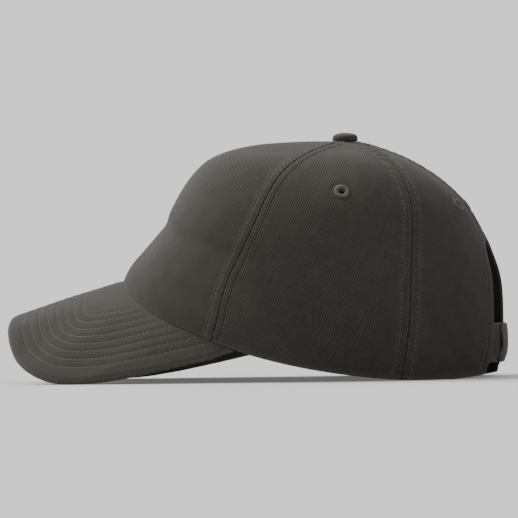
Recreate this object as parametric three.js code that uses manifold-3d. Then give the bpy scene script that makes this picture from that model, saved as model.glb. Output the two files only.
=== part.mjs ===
// Five panel cap: a soft cloth crown of five sewn panels, a curved visor, a covered top button,
// four stitched eyelets and a two part strap across the arch at the back.
// Millimetres, +Z up. The visor points to -X and the wearer's left is -Y. The cap rests on the
// lowest stretch of its rim and on the sides of its visor, and its origin lies on that surface,
// under the middle of its bounding box. Angles round the crown are degrees from the front.
import * as THREE from 'three'
import { mergeVertices } from 'three/addons/utils/BufferGeometryUtils.js'
import Module from 'manifold-3d'

const wasm = await Module()
wasm.setup()

// Crown: outer sizes, all measured from the button's axis or from the resting surface
const CROWN_HEIGHT = 132.9
const CROWN_FRONT = 126.4
const CROWN_REAR = 89.0
const CROWN_HALF_WIDTH = 77.0
const RIM_FRONT_HEIGHT = 56.6
const FRONT_FULLNESS = 0.1
const CROWN_WALL = 2.0
const SEAM_GAP = 0.3
const APEX_HOLE_RADIUS = 2.4

// Dent in the middle of the front panel
const DENT_DEPTH = 2.2
const DENT_HEIGHT = 97
const DENT_HALF_HEIGHT = 13
const DENT_HALF_WIDTH = 20

// Visor
const VISOR_TIP = 191.2
const VISOR_SQUARENESS = 3.0
const VISOR_END_ANGLE = 71.5
const VISOR_END_MARGIN = 0.8
const VISOR_THICKNESS = 3.0
const VISOR_END_THICKNESS = 1.6
const VISOR_TIP_HEIGHT = 37.1
const VISOR_SEAT_GAP = 0.35
const VISOR_CAMBER = 0.8
const VISOR_SIDE_SLOPE = 1.1
const VISOR_THINNING_ANGLE = 45
const VISOR_JOINING_ANGLE = 80

// Top button with its shank and the plate that holds it inside the crown
const BUTTON_RADIUS = 7.0
const BUTTON_HEIGHT = 4.1
const BUTTON_CLEARANCE = 0.3
const SHANK_RADIUS = 1.7
const BACK_PLATE_RADIUS = 5.2
const BACK_PLATE_THICKNESS = 1.0
const BACK_PLATE_CLEARANCE = 0.5

// Stitched eyelets
const EYELET_RADIUS = 4.75
const EYELET_HOLE_RADIUS = 1.7
const EYELET_BARREL_RADIUS = 3.2
const EYELET_RELIEF = 0.9
const EYELET_CLEARANCE = 0.3
const EYELET_INNER_CLEARANCE = 0.7
const EYELET_SIDES = 16
const EYELETS = [
  { place: 'side', angle: 105, row: 0.584 },
  { place: 'back', angle: 165.2, row: 0.534 },
]

// Arch at the back, and the strap that crosses it
const ARCH_HEIGHT = 76.5
const ARCH_SPRING = 36
const ARCH_HALF_WIDTH = 23.5
const ARCH_FOOT_HALF_WIDTH = 30
const STRAP_WIDTH = 21.8
const STRAP_FOOT = 8.2
const STRAP_THICKNESS = 1.6
const STRAP_CLEARANCE = 0.5
const STRAP_LIFT = -1.7
const STRAP_TUCK_MARGIN = 1.8
const STRAP_FLAT_HALF_WIDTH = 9
const STRAP_SEWN_ANGLE = 148
const STRAP_UNDER_END_ANGLE = 205
const STRAP_OVER_END_ANGLE = 172.6

// Sections of the crown from the rim to the button, as shares of its height over the rim, its
// front, its half width and its rear, and the angles of its seams
const CROWN_SECTIONS = [
  { rise: 0.000, front: 1.000, side: 1.000, rear: 0.983, frontSeam: 64.3, backSeam: 122.3 },
  { rise: 0.100, front: 0.969, side: 1.020, rear: 1.000, frontSeam: 64.4, backSeam: 122.8 },
  { rise: 0.220, front: 0.908, side: 1.035, rear: 1.000, frontSeam: 63.2, backSeam: 123.2 },
  { rise: 0.330, front: 0.851, side: 1.035, rear: 0.994, frontSeam: 62.9, backSeam: 123.0 },
  { rise: 0.420, front: 0.810, side: 1.025, rear: 0.969, frontSeam: 64.1, backSeam: 123.7 },
  { rise: 0.520, front: 0.792, side: 1.000, rear: 0.908, frontSeam: 67.3, backSeam: 126.6 },
  { rise: 0.620, front: 0.757, side: 0.955, rear: 0.839, frontSeam: 70.0, backSeam: 130.0 },
  { rise: 0.720, front: 0.710, side: 0.885, rear: 0.753, frontSeam: 72.4, backSeam: 134.0 },
  { rise: 0.810, front: 0.658, side: 0.780, rear: 0.627, frontSeam: 76.2, backSeam: 138.6 },
  { rise: 0.880, front: 0.606, side: 0.640, rear: 0.486, frontSeam: 82.5, backSeam: 144.0 },
  { rise: 0.930, front: 0.530, side: 0.480, rear: 0.350, frontSeam: 89.8, backSeam: 149.4 },
  { rise: 0.965, front: 0.427, side: 0.310, rear: 0.219, frontSeam: 99.8, backSeam: 153.6 },
  { rise: 0.988, front: 0.275, side: 0.160, rear: 0.112, frontSeam: 112.0, backSeam: 157.0 },
  { rise: 1.000, front: 0.000, side: 0.000, rear: 0.000, frontSeam: 113.0, backSeam: 157.5 },
]

// Height of the rim, every 15 degrees from the front to the back, as shares of its front height
const RIM_SECTIONS = [
  { angle: 0, height: 1.000 },
  { angle: 15, height: 0.919 },
  { angle: 30, height: 0.797 },
  { angle: 45, height: 0.620 },
  { angle: 60, height: 0.451 },
  { angle: 75, height: 0.284 },
  { angle: 90, height: 0.155 },
  { angle: 105, height: 0.065 },
  { angle: 120, height: 0.012 },
  { angle: 135, height: -0.006 },
  { angle: 150, height: 0.016 },
  { angle: 165, height: 0.053 },
  { angle: 180, height: 0.060 },
]

// Height of the visor's edge, every 10 degrees round its plan from the tip to its end, as
// shares of the tip's height; the last row is replaced by the rim that the visor ends under
const VISOR_EDGE = [
  { angle: 0, height: 1.000 },
  { angle: 10, height: 0.825 },
  { angle: 20, height: 0.357 },
  { angle: 30, height: 0.085 },
  { angle: 40, height: 0.064 },
  { angle: 50, height: 0.132 },
  { angle: 60, height: 0.218 },
  { angle: 70, height: 0.298 },
  { angle: 80, height: 0.372 },
  { angle: 90, height: 0.430 },
]

// Outline of the button's cap from its foot to its top, as shares of its radius and height
const BUTTON_SECTIONS = [
  { radius: 0.94, height: 0.00 },
  { radius: 0.98, height: 0.18 },
  { radius: 1.00, height: 0.42 },
  { radius: 0.97, height: 0.58 },
  { radius: 0.87, height: 0.73 },
  { radius: 0.68, height: 0.86 },
  { radius: 0.40, height: 0.96 },
  { radius: 0.00, height: 1.00 },
]

// Divisions of the faceted surfaces
const PANEL_ROWS = 20
const FRONT_COLUMNS = 26
const SIDE_COLUMNS = 10
const BACK_COLUMNS = 9
const VISOR_COLUMNS = 44
const VISOR_ROWS = 6
const BUTTON_SIDES = 24
const STRAP_COLUMNS = 16
const STRAP_ROWS = 2
const ARCH_SEGMENTS = 10

// Small numbers of the workings
const ANGLE_STEP = 0.05
const ROW_STEP = 0.001
const WELD = 1e-3
const SOLVE_STEPS = 40
const NEAR_APEX = 0.8

const cloth = new THREE.MeshStandardMaterial({ color: 0x55524a, roughness: 0.92, metalness: 0 })
const thread = new THREE.MeshStandardMaterial({ color: 0x77746a, roughness: 0.85, metalness: 0 })

const { degToRad, lerp, smoothstep } = THREE.MathUtils

// A table's row at a share of its length, each column on a smooth curve through its rows. What a
// mirrored table describes goes on past each end as its own mirror image.
function along(table, share, mirrored = false) {
  const last = table.length - 1
  const place = THREE.MathUtils.clamp(share, 0, 1) * last
  const index = Math.min(Math.floor(place), last - 1)
  const part = place - index
  const row = {}
  for (const key of Object.keys(table[0])) {
    const here = table[index][key]
    const next = table[index + 1][key]
    const firstBefore = mirrored ? next : 2 * here - next
    const lastAfter = mirrored ? here : 2 * next - here
    const before = index > 0 ? table[index - 1][key] : firstBefore
    const after = index < last - 1 ? table[index + 2][key] : lastAfter
    row[key] = here + 0.5 * part * (next - before
      + part * (2 * before - 5 * here + 4 * next - after
      + part * (3 * (here - next) + after - before)))
  }
  return row
}

// Height of the crown's lower edge; its lowest stretch lies flat on the surface
function rimHeight(angle) {
  const fromFront = Math.acos(Math.cos(degToRad(angle)))
  return Math.max(0, RIM_FRONT_HEIGHT * along(RIM_SECTIONS, fromFront / Math.PI, true).height)
}

// A point of the crown's outer surface. row runs from 0 at the rim to 1 at the button.
function crownPoint(angle, row) {
  const share = along(CROWN_SECTIONS, row)
  const front = CROWN_FRONT * share.front
  const rear = CROWN_REAR * share.rear
  const cos = Math.cos(degToRad(angle))
  const fullness = 1 + FRONT_FULLNESS * Math.max(0, cos) ** 2
  const rim = rimHeight(angle)
  const point = new THREE.Vector3(
    (rear - front) / 2 - (rear + front) / 2 * cos,
    -CROWN_HALF_WIDTH * share.side * Math.sin(degToRad(angle)) * fullness,
    rim + (CROWN_HEIGHT - rim) * share.rise,
  )
  if (cos > 0) {
    const away = (point.y / DENT_HALF_WIDTH) ** 2 + ((point.z - DENT_HEIGHT) / DENT_HALF_HEIGHT) ** 2
    point.x += DENT_DEPTH * Math.exp(-away)
  }
  return point
}

// Outward normal of the crown's surface
function crownNormal(angle, row) {
  const low = Math.max(0, row - ROW_STEP)
  const high = Math.min(1 - ROW_STEP, row + ROW_STEP)
  const up = crownPoint(angle, high).sub(crownPoint(angle, low))
  const around = crownPoint(angle + ANGLE_STEP, row).sub(crownPoint(angle - ANGLE_STEP, row))
  return around.cross(up).normalize()
}

// The same normal laid level, for what follows the rim
function levelNormal(angle, row) {
  const normal = crownNormal(angle, row)
  return normal.setZ(0).normalize()
}

// The share of the way between two ends at which a rising function reaches its aim
function solve(rising, aim, low, high) {
  for (let step = 0; step < SOLVE_STEPS; step++) {
    const middle = (low + high) / 2
    if (rising(middle) < aim) low = middle
    else high = middle
  }
  return (low + high) / 2
}

// The row near the top at which a line up the crown is a given distance from the button's axis
function rowAtRadius(angleAt, radius) {
  const closeness = (row) => {
    const point = crownPoint(angleAt(row), row)
    return -Math.hypot(point.x, point.y)
  }
  return solve(closeness, -radius, NEAR_APEX, 1 - ROW_STEP)
}

// A closed solid between two grids of points, outer and inner, of the same size
function solidBetween(columns, rows, outer, inner) {
  const points = []
  for (const face of [outer, inner]) {
    for (let column = 0; column <= columns; column++) {
      for (let row = 0; row <= rows; row++) points.push(face(column, row))
    }
  }
  const faceSize = (columns + 1) * (rows + 1)
  const at = (face, column, row) => face * faceSize + column * (rows + 1) + row
  const index = []
  const quad = (a, b, c, d) => index.push(a, b, c, a, c, d)
  for (let column = 0; column < columns; column++) {
    for (let row = 0; row < rows; row++) {
      quad(at(0, column, row), at(0, column + 1, row), at(0, column + 1, row + 1), at(0, column, row + 1))
      quad(at(1, column, row), at(1, column, row + 1), at(1, column + 1, row + 1), at(1, column + 1, row))
    }
  }
  for (let column = 0; column < columns; column++) {
    quad(at(0, column + 1, 0), at(0, column, 0), at(1, column, 0), at(1, column + 1, 0))
    quad(at(0, column, rows), at(0, column + 1, rows), at(1, column + 1, rows), at(1, column, rows))
  }
  for (let row = 0; row < rows; row++) {
    quad(at(0, 0, row), at(0, 0, row + 1), at(1, 0, row + 1), at(1, 0, row))
    quad(at(0, columns, row + 1), at(0, columns, row), at(1, columns, row), at(1, columns, row + 1))
  }
  const geometry = new THREE.BufferGeometry().setFromPoints(points)
  geometry.setIndex(index)
  return facingOut(geometry)
}

// The geometry with its faces turned outward
function facingOut(geometry) {
  const position = geometry.getAttribute('position')
  const index = geometry.getIndex()
  const corners = [new THREE.Vector3(), new THREE.Vector3(), new THREE.Vector3()]
  let volume = 0
  for (let face = 0; face < index.count; face += 3) {
    corners.forEach((corner, place) => corner.fromBufferAttribute(position, index.getX(face + place)))
    volume += corners[0].dot(corners[1].cross(corners[2]))
  }
  if (volume < 0) {
    for (let face = 0; face < index.count; face += 3) {
      const second = index.getX(face + 1)
      index.setX(face + 1, index.getX(face + 2))
      index.setX(face + 2, second)
    }
  }
  return geometry
}

// Only positions, with shared vertices merged
function welded(geometry) {
  geometry.deleteAttribute('normal')
  geometry.deleteAttribute('uv')
  return mergeVertices(geometry, WELD)
}

function toSolid(geometry) {
  return new wasm.Manifold(new wasm.Mesh({
    numProp: 3,
    vertProperties: new Float32Array(geometry.getAttribute('position').array),
    triVerts: new Uint32Array(geometry.getIndex().array),
  }))
}

function toGeometry(solid) {
  const mesh = solid.getMesh()
  const geometry = new THREE.BufferGeometry()
  geometry.setAttribute('position', new THREE.BufferAttribute(mesh.vertProperties, 3))
  geometry.setIndex(new THREE.BufferAttribute(mesh.triVerts, 1))
  return geometry
}

function cut(geometry, cutters) {
  let solid = toSolid(geometry)
  for (const cutter of cutters) solid = solid.subtract(toSolid(cutter))
  return toGeometry(solid)
}

function named(name, geometry, material) {
  const mesh = new THREE.Mesh(geometry, material)
  mesh.name = name
  return mesh
}

// Crown panel between two seams, given as functions of the row. side is 1 on the wearer's left
// and -1 on the right. Each seam edge stands back by half the seam's gap.
function panelGeometry(columns, fromSeam, toSeam, side) {
  const inset = (angle, row) => {
    const step = crownPoint(angle + ANGLE_STEP, row).distanceTo(crownPoint(angle - ANGLE_STEP, row))
    return SEAM_GAP / 2 / (step / (2 * ANGLE_STEP))
  }
  const angleAt = (share, row) => {
    const from = fromSeam(row)
    const to = toSeam(row)
    return lerp(from + inset(from, row), to - inset(to, row), share)
  }
  const tops = Array.from({ length: columns + 1 }, (_, column) =>
    rowAtRadius((row) => angleAt(column / columns, row), APEX_HOLE_RADIUS))
  const outer = (column, step) => {
    const row = tops[column] * step / PANEL_ROWS
    return crownPoint(side * angleAt(column / columns, row), row)
  }
  const inner = (column, step) => {
    const row = tops[column] * step / PANEL_ROWS
    const angle = side * angleAt(column / columns, row)
    const normal = step === 0 ? levelNormal(angle, row) : crownNormal(angle, row)
    return crownPoint(angle, row).addScaledVector(normal, -CROWN_WALL)
  }
  return solidBetween(columns, PANEL_ROWS, outer, inner)
}

// Where an eyelet sits: its centre on the outer surface and the turn of its axis
function eyeletPlace(angle, row) {
  const turn = new THREE.Quaternion().setFromUnitVectors(new THREE.Vector3(0, 1, 0), crownNormal(angle, row))
  return new THREE.Matrix4().compose(crownPoint(angle, row), turn, new THREE.Vector3(1, 1, 1))
}

// The hole that an eyelet's barrel passes through
function eyeletCutter(angle, row) {
  const radius = EYELET_BARREL_RADIUS + EYELET_CLEARANCE
  const length = 6 * CROWN_WALL
  const cylinder = new THREE.CylinderGeometry(radius, radius, length, EYELET_SIDES)
  return welded(cylinder).applyMatrix4(eyeletPlace(angle, row))
}

// Thread ring that wraps the hole's edge, as a lathed section closed on itself
function eyeletGeometry(angle, row) {
  const foot = EYELET_CLEARANCE
  const top = foot + EYELET_RELIEF
  const innerFoot = -CROWN_WALL - EYELET_INNER_CLEARANCE
  const innerTop = innerFoot - EYELET_RELIEF
  const round = EYELET_RELIEF / 2
  const section = [
    [EYELET_HOLE_RADIUS, innerTop + round],
    [EYELET_HOLE_RADIUS, top - round],
    [EYELET_HOLE_RADIUS + round, top],
    [EYELET_RADIUS - round, top],
    [EYELET_RADIUS, foot],
    [EYELET_BARREL_RADIUS, foot],
    [EYELET_BARREL_RADIUS, innerFoot],
    [EYELET_RADIUS, innerFoot],
    [EYELET_RADIUS - round, innerTop],
    [EYELET_HOLE_RADIUS + round, innerTop],
    [EYELET_HOLE_RADIUS, innerTop + round],
  ].map(([radius, height]) => new THREE.Vector2(radius, height))
  const lathe = welded(new THREE.LatheGeometry(section, EYELET_SIDES))
  return facingOut(lathe).applyMatrix4(eyeletPlace(angle, row))
}

// Outline of the arch seen from behind, pushed through the back of the crown
function archCutter() {
  const outline = new THREE.Shape()
  outline.moveTo(-ARCH_FOOT_HALF_WIDTH, -CROWN_WALL)
  outline.lineTo(ARCH_FOOT_HALF_WIDTH, -CROWN_WALL)
  outline.quadraticCurveTo(ARCH_HALF_WIDTH, ARCH_SPRING / 3, ARCH_HALF_WIDTH, ARCH_SPRING)
  outline.absellipse(0, ARCH_SPRING, ARCH_HALF_WIDTH, ARCH_HEIGHT - ARCH_SPRING, 0, Math.PI, false)
  outline.quadraticCurveTo(-ARCH_HALF_WIDTH, ARCH_SPRING / 3, -ARCH_FOOT_HALF_WIDTH, -CROWN_WALL)
  const prism = new THREE.ExtrudeGeometry(outline, {
    depth: CROWN_REAR,
    bevelEnabled: false,
    curveSegments: ARCH_SEGMENTS,
  })
  // The outline's x becomes Y, its y becomes Z, and the extrusion runs along X past the rear
  prism.applyMatrix4(new THREE.Matrix4().set(
    0, 0, 1, CROWN_REAR / 2,
    1, 0, 0, 0,
    0, 1, 0, 0,
    0, 0, 0, 1,
  ))
  return facingOut(welded(prism))
}

const frontSeam = (row) => along(CROWN_SECTIONS, row).frontSeam
const backSeam = (row) => along(CROWN_SECTIONS, row).backSeam
const SIDES = [['left', 1], ['right', -1]]

function crownPanels() {
  const frontPanel = panelGeometry(FRONT_COLUMNS, (row) => -frontSeam(row), frontSeam, 1)
  const panels = [named('front_panel', frontPanel, cloth)]
  const [sideEyelet, backEyelet] = EYELETS
  for (const [hand, side] of SIDES) {
    const sidePanel = panelGeometry(SIDE_COLUMNS, frontSeam, backSeam, side)
    const backPanel = panelGeometry(BACK_COLUMNS, backSeam, () => 180, side)
    const sideHole = eyeletCutter(side * sideEyelet.angle, sideEyelet.row)
    const backHole = eyeletCutter(side * backEyelet.angle, backEyelet.row)
    panels.push(named(`side_panel_${hand}`, cut(sidePanel, [sideHole]), cloth))
    panels.push(named(`back_panel_${hand}`, cut(backPanel, [backHole, archCutter()]), cloth))
  }
  return panels
}

function eyelets() {
  return EYELETS.flatMap(({ place, angle, row }) => SIDES.map(([hand, side]) =>
    named(`eyelet_${place}_${hand}`, eyeletGeometry(side * angle, row), thread)))
}

// The visor's plan is a squared ellipse whose ends meet the rim at VISOR_END_ANGLE. Its upper
// face has a level land under the panels' edge. From there straight lines run forward to the
// edge, as they do on a board that is bent over a cylinder.
function visorGeometry() {
  const end = crownPoint(VISOR_END_ANGLE, 0)
  const reach = VISOR_TIP + end.x
  const halfWidth = -end.y + VISOR_END_MARGIN
  const foreSlope = (RIM_FRONT_HEIGHT - VISOR_TIP_HEIGHT) / (VISOR_TIP - CROWN_FRONT)
  const edgePoint = (turn) => {
    const cos = Math.cos(degToRad(turn))
    const sin = Math.sin(degToRad(turn))
    const power = VISOR_SQUARENESS
    const radius = ((cos / reach) ** power + (Math.abs(sin) / halfWidth) ** power) ** (-1 / power)
    const share = along(VISOR_EDGE, Math.abs(turn) / 90, true).height
    const ending = smoothstep(Math.abs(turn), VISOR_JOINING_ANGLE, 90)
    const height = lerp(VISOR_TIP_HEIGHT * share, end.z - VISOR_SEAT_GAP, ending)
    return new THREE.Vector3(end.x - radius * cos, -radius * sin, height)
  }
  const seatAngle = (turn) => {
    const aim = -end.y * Math.abs(edgePoint(turn).y) / halfWidth
    return Math.sign(turn) * solve((angle) => -crownPoint(angle, 0).y, aim, 0, VISOR_END_ANGLE)
  }
  const turns = Array.from({ length: VISOR_COLUMNS + 1 }, (_, column) =>
    lerp(-90, 90, column / VISOR_COLUMNS))
  const columns = turns.map((turn) => {
    const angle = seatAngle(turn)
    const seat = crownPoint(angle, 0)
    seat.z -= VISOR_SEAT_GAP
    const back = seat.clone().addScaledVector(levelNormal(angle, 0), -CROWN_WALL)
    const edge = edgePoint(turn)
    const down = new THREE.Vector3(foreSlope, -VISOR_SIDE_SLOPE * edge.y / halfWidth, -1).normalize()
    const thinning = smoothstep(Math.abs(turn), VISOR_THINNING_ANGLE, 90)
    const thickness = lerp(VISOR_THICKNESS, VISOR_END_THICKNESS, thinning)
    return { seat, back, edge, wall: down.multiplyScalar(thickness) }
  })
  const upper = (column, step) => {
    const { seat, back, edge } = columns[column]
    if (step === 0) return back.clone()
    const share = (step - 1) / (VISOR_ROWS - 1)
    const point = seat.clone().lerp(edge, share)
    point.z += VISOR_CAMBER * 4 * share * (1 - share) * Math.cos(degToRad(turns[column]))
    return point
  }
  const lower = (column, step) => {
    const point = upper(column, step).add(columns[column].wall)
    point.z = Math.max(0, point.z)
    return point
  }
  return solidBetween(VISOR_COLUMNS, VISOR_ROWS, upper, lower)
}

// Domed button, shank through the crown's apex and plate inside it, as one lathed solid
function buttonGeometry() {
  const foot = CROWN_HEIGHT + BUTTON_CLEARANCE
  // The plate hangs clear of the lowest part of the crown's inner face over it
  const plateAngles = Array.from({ length: BUTTON_SIDES }, (_, side) => 360 * side / BUTTON_SIDES)
  const overPlate = plateAngles.map((angle) =>
    crownPoint(angle, rowAtRadius(() => angle, BACK_PLATE_RADIUS)).z)
  const plateTop = Math.min(...overPlate) - CROWN_WALL - BACK_PLATE_CLEARANCE
  const plateFoot = plateTop - BACK_PLATE_THICKNESS
  const profile = [
    [0, plateFoot],
    [BACK_PLATE_RADIUS, plateFoot],
    [BACK_PLATE_RADIUS, plateTop],
    [SHANK_RADIUS, plateTop],
    [SHANK_RADIUS, foot],
    ...BUTTON_SECTIONS.map(({ radius, height }) => [BUTTON_RADIUS * radius, foot + BUTTON_HEIGHT * height]),
  ].map(([radius, height]) => new THREE.Vector2(radius, height))
  const lathe = new THREE.LatheGeometry(profile, BUTTON_SIDES)
  lathe.rotateX(Math.PI / 2)
  return facingOut(welded(lathe))
}

// Strap between two angles. lift gives how far its outer face stands out from the crown's
// surface at a distance across the back.
function strapGeometry(fromAngle, toAngle, lift) {
  const face = (depth) => (column, step) => {
    const angle = lerp(fromAngle, toAngle, column / STRAP_COLUMNS)
    const height = STRAP_FOOT + STRAP_WIDTH * step / STRAP_ROWS
    const row = solve((share) => crownPoint(angle, share).z, height, 0, 0.5)
    const point = crownPoint(angle, row)
    return point.addScaledVector(levelNormal(angle, row), lift(point.y) - depth)
  }
  return solidBetween(STRAP_COLUMNS, STRAP_ROWS, face(0), face(STRAP_THICKNESS))
}

// The under strap is sewn inside the left panel and the over strap inside the right one. They
// come out through the arch, lie on each other in its middle and go back inside at the right.
function straps() {
  const tucked = -CROWN_WALL - STRAP_CLEARANCE
  const step = STRAP_THICKNESS + STRAP_CLEARANCE
  const tuckedFrom = ARCH_HALF_WIDTH - STRAP_TUCK_MARGIN
  const outside = (y) => 1 - smoothstep(Math.abs(y), STRAP_FLAT_HALF_WIDTH, tuckedFrom)
  const underLift = (y) => lerp(y < 0 ? tucked : tucked - step, STRAP_LIFT, outside(y))
  const overLift = (y) => lerp(tucked, STRAP_LIFT + step, outside(y))
  return [
    named('back_strap_under', strapGeometry(STRAP_SEWN_ANGLE, STRAP_UNDER_END_ANGLE, underLift), cloth),
    named('back_strap_over', strapGeometry(STRAP_OVER_END_ANGLE, 360 - STRAP_SEWN_ANGLE, overLift), cloth),
  ]
}

const cap = new THREE.Group()
cap.name = 'five_panel_cap'
cap.add(
  ...crownPanels(),
  named('visor', visorGeometry(), cloth),
  named('top_button', buttonGeometry(), cloth),
  ...eyelets(),
  ...straps(),
)

// The origin goes under the middle of the whole cap, on the surface that it rests on
const box = new THREE.Box3().setFromObject(cap)
const middle = box.getCenter(new THREE.Vector3())
cap.position.set(-middle.x, -middle.y, -box.min.z)

export default cap
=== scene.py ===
"""Looks of a five panel cap of washed cotton twill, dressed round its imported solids.

Sub-assemblies: the crown's five sewn panels, the stitched visor, the covered top button, the
embroidered eyelets, the two part strap across the arch at the back, and the studio round them.
Lengths are metres. The visor points to -X, and the wearer's left is -Y. Angles round the crown
are degrees from the front, positive on the wearer's left, so that they grow to the right for
anyone who looks at the cap from outside.
"""
import logging
import math
from collections.abc import Callable
from dataclasses import dataclass, field
from enum import Enum
from typing import Any

import bpy
import numpy as np
from mathutils import Matrix, Vector
from mathutils.kdtree import KDTree


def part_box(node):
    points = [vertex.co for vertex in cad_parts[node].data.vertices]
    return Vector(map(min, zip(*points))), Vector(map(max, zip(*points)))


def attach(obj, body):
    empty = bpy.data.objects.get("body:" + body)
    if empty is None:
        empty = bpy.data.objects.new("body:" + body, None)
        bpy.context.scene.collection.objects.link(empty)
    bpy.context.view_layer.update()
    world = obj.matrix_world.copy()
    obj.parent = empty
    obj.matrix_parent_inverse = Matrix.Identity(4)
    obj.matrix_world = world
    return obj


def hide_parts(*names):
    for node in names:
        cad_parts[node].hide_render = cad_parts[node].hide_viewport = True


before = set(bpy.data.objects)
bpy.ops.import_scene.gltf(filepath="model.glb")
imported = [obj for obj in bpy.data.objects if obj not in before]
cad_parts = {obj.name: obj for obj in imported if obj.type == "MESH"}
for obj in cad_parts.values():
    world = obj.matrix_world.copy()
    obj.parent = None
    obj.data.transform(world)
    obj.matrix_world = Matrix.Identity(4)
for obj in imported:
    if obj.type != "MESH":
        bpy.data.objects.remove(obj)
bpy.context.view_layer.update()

Array = np.ndarray
Number = float | np.ndarray
Color = tuple[float, float, float]

log = logging.getLogger("cap")
MM = 0.001
BODY = "root"
CLOTH_UV = "cloth"
THREAD_UV = "thread"
NORMAL_ATTRIBUTE = "cloth_normal"
WEAR_ATTRIBUTE = "wear"
# How far a face takes the reverse colour: the reverse side's own paler colour, lightened further as painted
# light on faces in shade
REVERSE_AND_PAINTED_LIGHT_ATTRIBUTE = "reverse_with_painted_light"
# Painted shade: how far the nearly black seam colour covers the gap along each seam
SEAM_SHADE_ATTRIBUTE = "seam"
PRESSED_ATTRIBUTE = "pressed"
FRONT_PANEL = "front_panel"
# Places along a curve that is measured
SAMPLES = 400
# A distance past every edge of the cap
FAR = 1.0


class Hand(Enum):
    """The wearer's side that a piece is on. The value is the sign of its angles."""

    LEFT = 1
    RIGHT = -1


class Seam(Enum):
    """The seams between the crown's panels. The value is a column of the crown's sections."""

    FRONT = 3
    BACK = 4


# A panel's edge: a seam on one hand, or None for the middle of the back
Edge = tuple[Seam, Hand] | None


class Slot(Enum):
    """The record's material slots."""

    CROWN = "crown_twill"
    VISOR = "visor_twill"
    BUTTON = "button_twill"
    STRAP = "strap_twill"
    THREAD = "eyelet_thread"


def along(table: Array, share: Array, mirrored: bool = False) -> Array:
    """Reads a table's row at a share of its length, on a smooth curve through its rows.

    Args:
        table: One section a row.
        share: Places from 0 at the first row to 1 at the last.
        mirrored: Whether the table goes on past each end as its own mirror image.

    Returns:
        The rows, with one more axis than share.
    """
    last = len(table) - 1
    head = table[1] if mirrored else 2 * table[0] - table[1]
    tail = table[-2] if mirrored else 2 * table[-1] - table[-2]
    padded = np.vstack([head, table, tail])
    place = np.clip(share, 0, 1) * last
    index = np.minimum(place.astype(int), last - 1)
    part = (place - index)[..., None]
    before, here, after, later = (padded[index + step] for step in range(4))
    cubic = 3 * (here - after) + later - before
    square = 2 * before - 5 * here + 4 * after - later
    return here + 0.5 * part * (after - before + part * (square + part * cubic))


def lerp(start: Number, end: Number, share: Number) -> Number:
    """The value at a share of the way from start to end."""
    return start + (end - start) * share


def smoothstep(value: Number, low: float, high: float) -> Number:
    """A smooth step from 0 at low to 1 at high."""
    share = np.clip((value - low) / (high - low), 0, 1)
    return share * share * (3 - 2 * share)


def unit(vectors: Array) -> Array:
    """The vectors at length 1."""
    return vectors / np.maximum(np.linalg.norm(vectors, axis=-1, keepdims=True), 1e-12)


def solve(rising: Callable[[Array], Array], aim: Number, low: Array, high: Array, steps: int = 36) -> Array:
    """Finds where a rising function reaches its aim, for many places at once.

    Args:
        rising: The function, from an array to an array.
        aim: What it should reach.
        low: Lower ends of the search.
        high: Upper ends of the search.
        steps: Halvings of the search.

    Returns:
        The places.
    """
    low, high = np.array(low, dtype=float), np.array(high, dtype=float)
    for _ in range(steps):
        middle = (low + high) / 2
        short = rising(middle) < aim
        low = np.where(short, middle, low)
        high = np.where(short, high, middle)
    return (low + high) / 2


def lengths(line: Array) -> Array:
    """The distance walked from a line's start to each of its points."""
    return np.concatenate([[0], np.cumsum(np.linalg.norm(np.diff(line[:, :3], axis=0), axis=1))])


def finely(line: Array, step: float = 0.25 * MM) -> Array:
    """The line with a point at every step of its length."""
    walked = lengths(line)
    places = np.linspace(0, walked[-1], max(2, int(walked[-1] / step)))
    return np.stack([np.interp(places, walked, column) for column in line.T], axis=1)


def distance_to(line: Array, points: Array) -> Array:
    """The distance from each point of a grid to a line.

    Args:
        line: Points of the line.
        points: The grid, with coordinates on its last axis.

    Returns:
        The distances, shaped as the grid.
    """
    samples = finely(line)
    tree = KDTree(len(samples))
    for index, sample in enumerate(samples.tolist()):
        tree.insert(sample, index)
    tree.balance()
    found = [tree.find(point)[2] for point in points.reshape(-1, 3).tolist()]
    return np.array(found).reshape(points.shape[:-1])


def closer_at_ends(near: Array, inner: Array, length: float) -> Array:
    """Places along a length: the near ones from each end, and the inner ones between them."""
    return np.concatenate([near, inner, length - near[::-1]])


def crossings(values: Array, target: float, samples: Array) -> Array:
    """Where a value first rises through a target along each line of a grid.

    Args:
        values: The value, one line of the grid a row.
        target: The value that is looked for.
        samples: What is read at the crossings, with one more axis than values.

    Returns:
        One row for each line that has a crossing.
    """
    hit = (values[:, :-1] < target) & (values[:, 1:] >= target)
    rows = np.flatnonzero(hit.any(axis=1))
    first = hit[rows].argmax(axis=1)
    low, high = values[rows, first], values[rows, first + 1]
    share = ((target - low) / (high - low))[:, None]
    return lerp(samples[rows, first], samples[rows, first + 1], share)


def rolled(distance: Array, reach: float, depth: Number | None = None) -> Array:
    """How far a face drops near a rolled edge.

    Args:
        distance: Distance from the edge.
        reach: How far from the edge the roll starts.
        depth: How far the face drops at the edge, the reach where it is None.

    Returns:
        The drop at each place.
    """
    away = np.clip(1 - distance / reach, 0, 1)
    return (reach if depth is None else depth) * (1 - np.sqrt(1 - away * away))


def furrow(distance: Array, center: float, half_width: float) -> Array:
    """A furrow's depth, from 0 to 1, at a distance from an edge that it runs along."""
    return np.exp(-(((distance - center) / half_width) ** 2))


@dataclass(frozen=True)
class Band:
    """A soft band along an edge: its strength, its distance from the edge and its half width."""

    strength: float
    place: float
    half_width: float

    def at(self, distance: Array) -> Array:
        """The band's strength at a distance from the edge."""
        return self.strength * furrow(distance, self.place, self.half_width)


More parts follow.
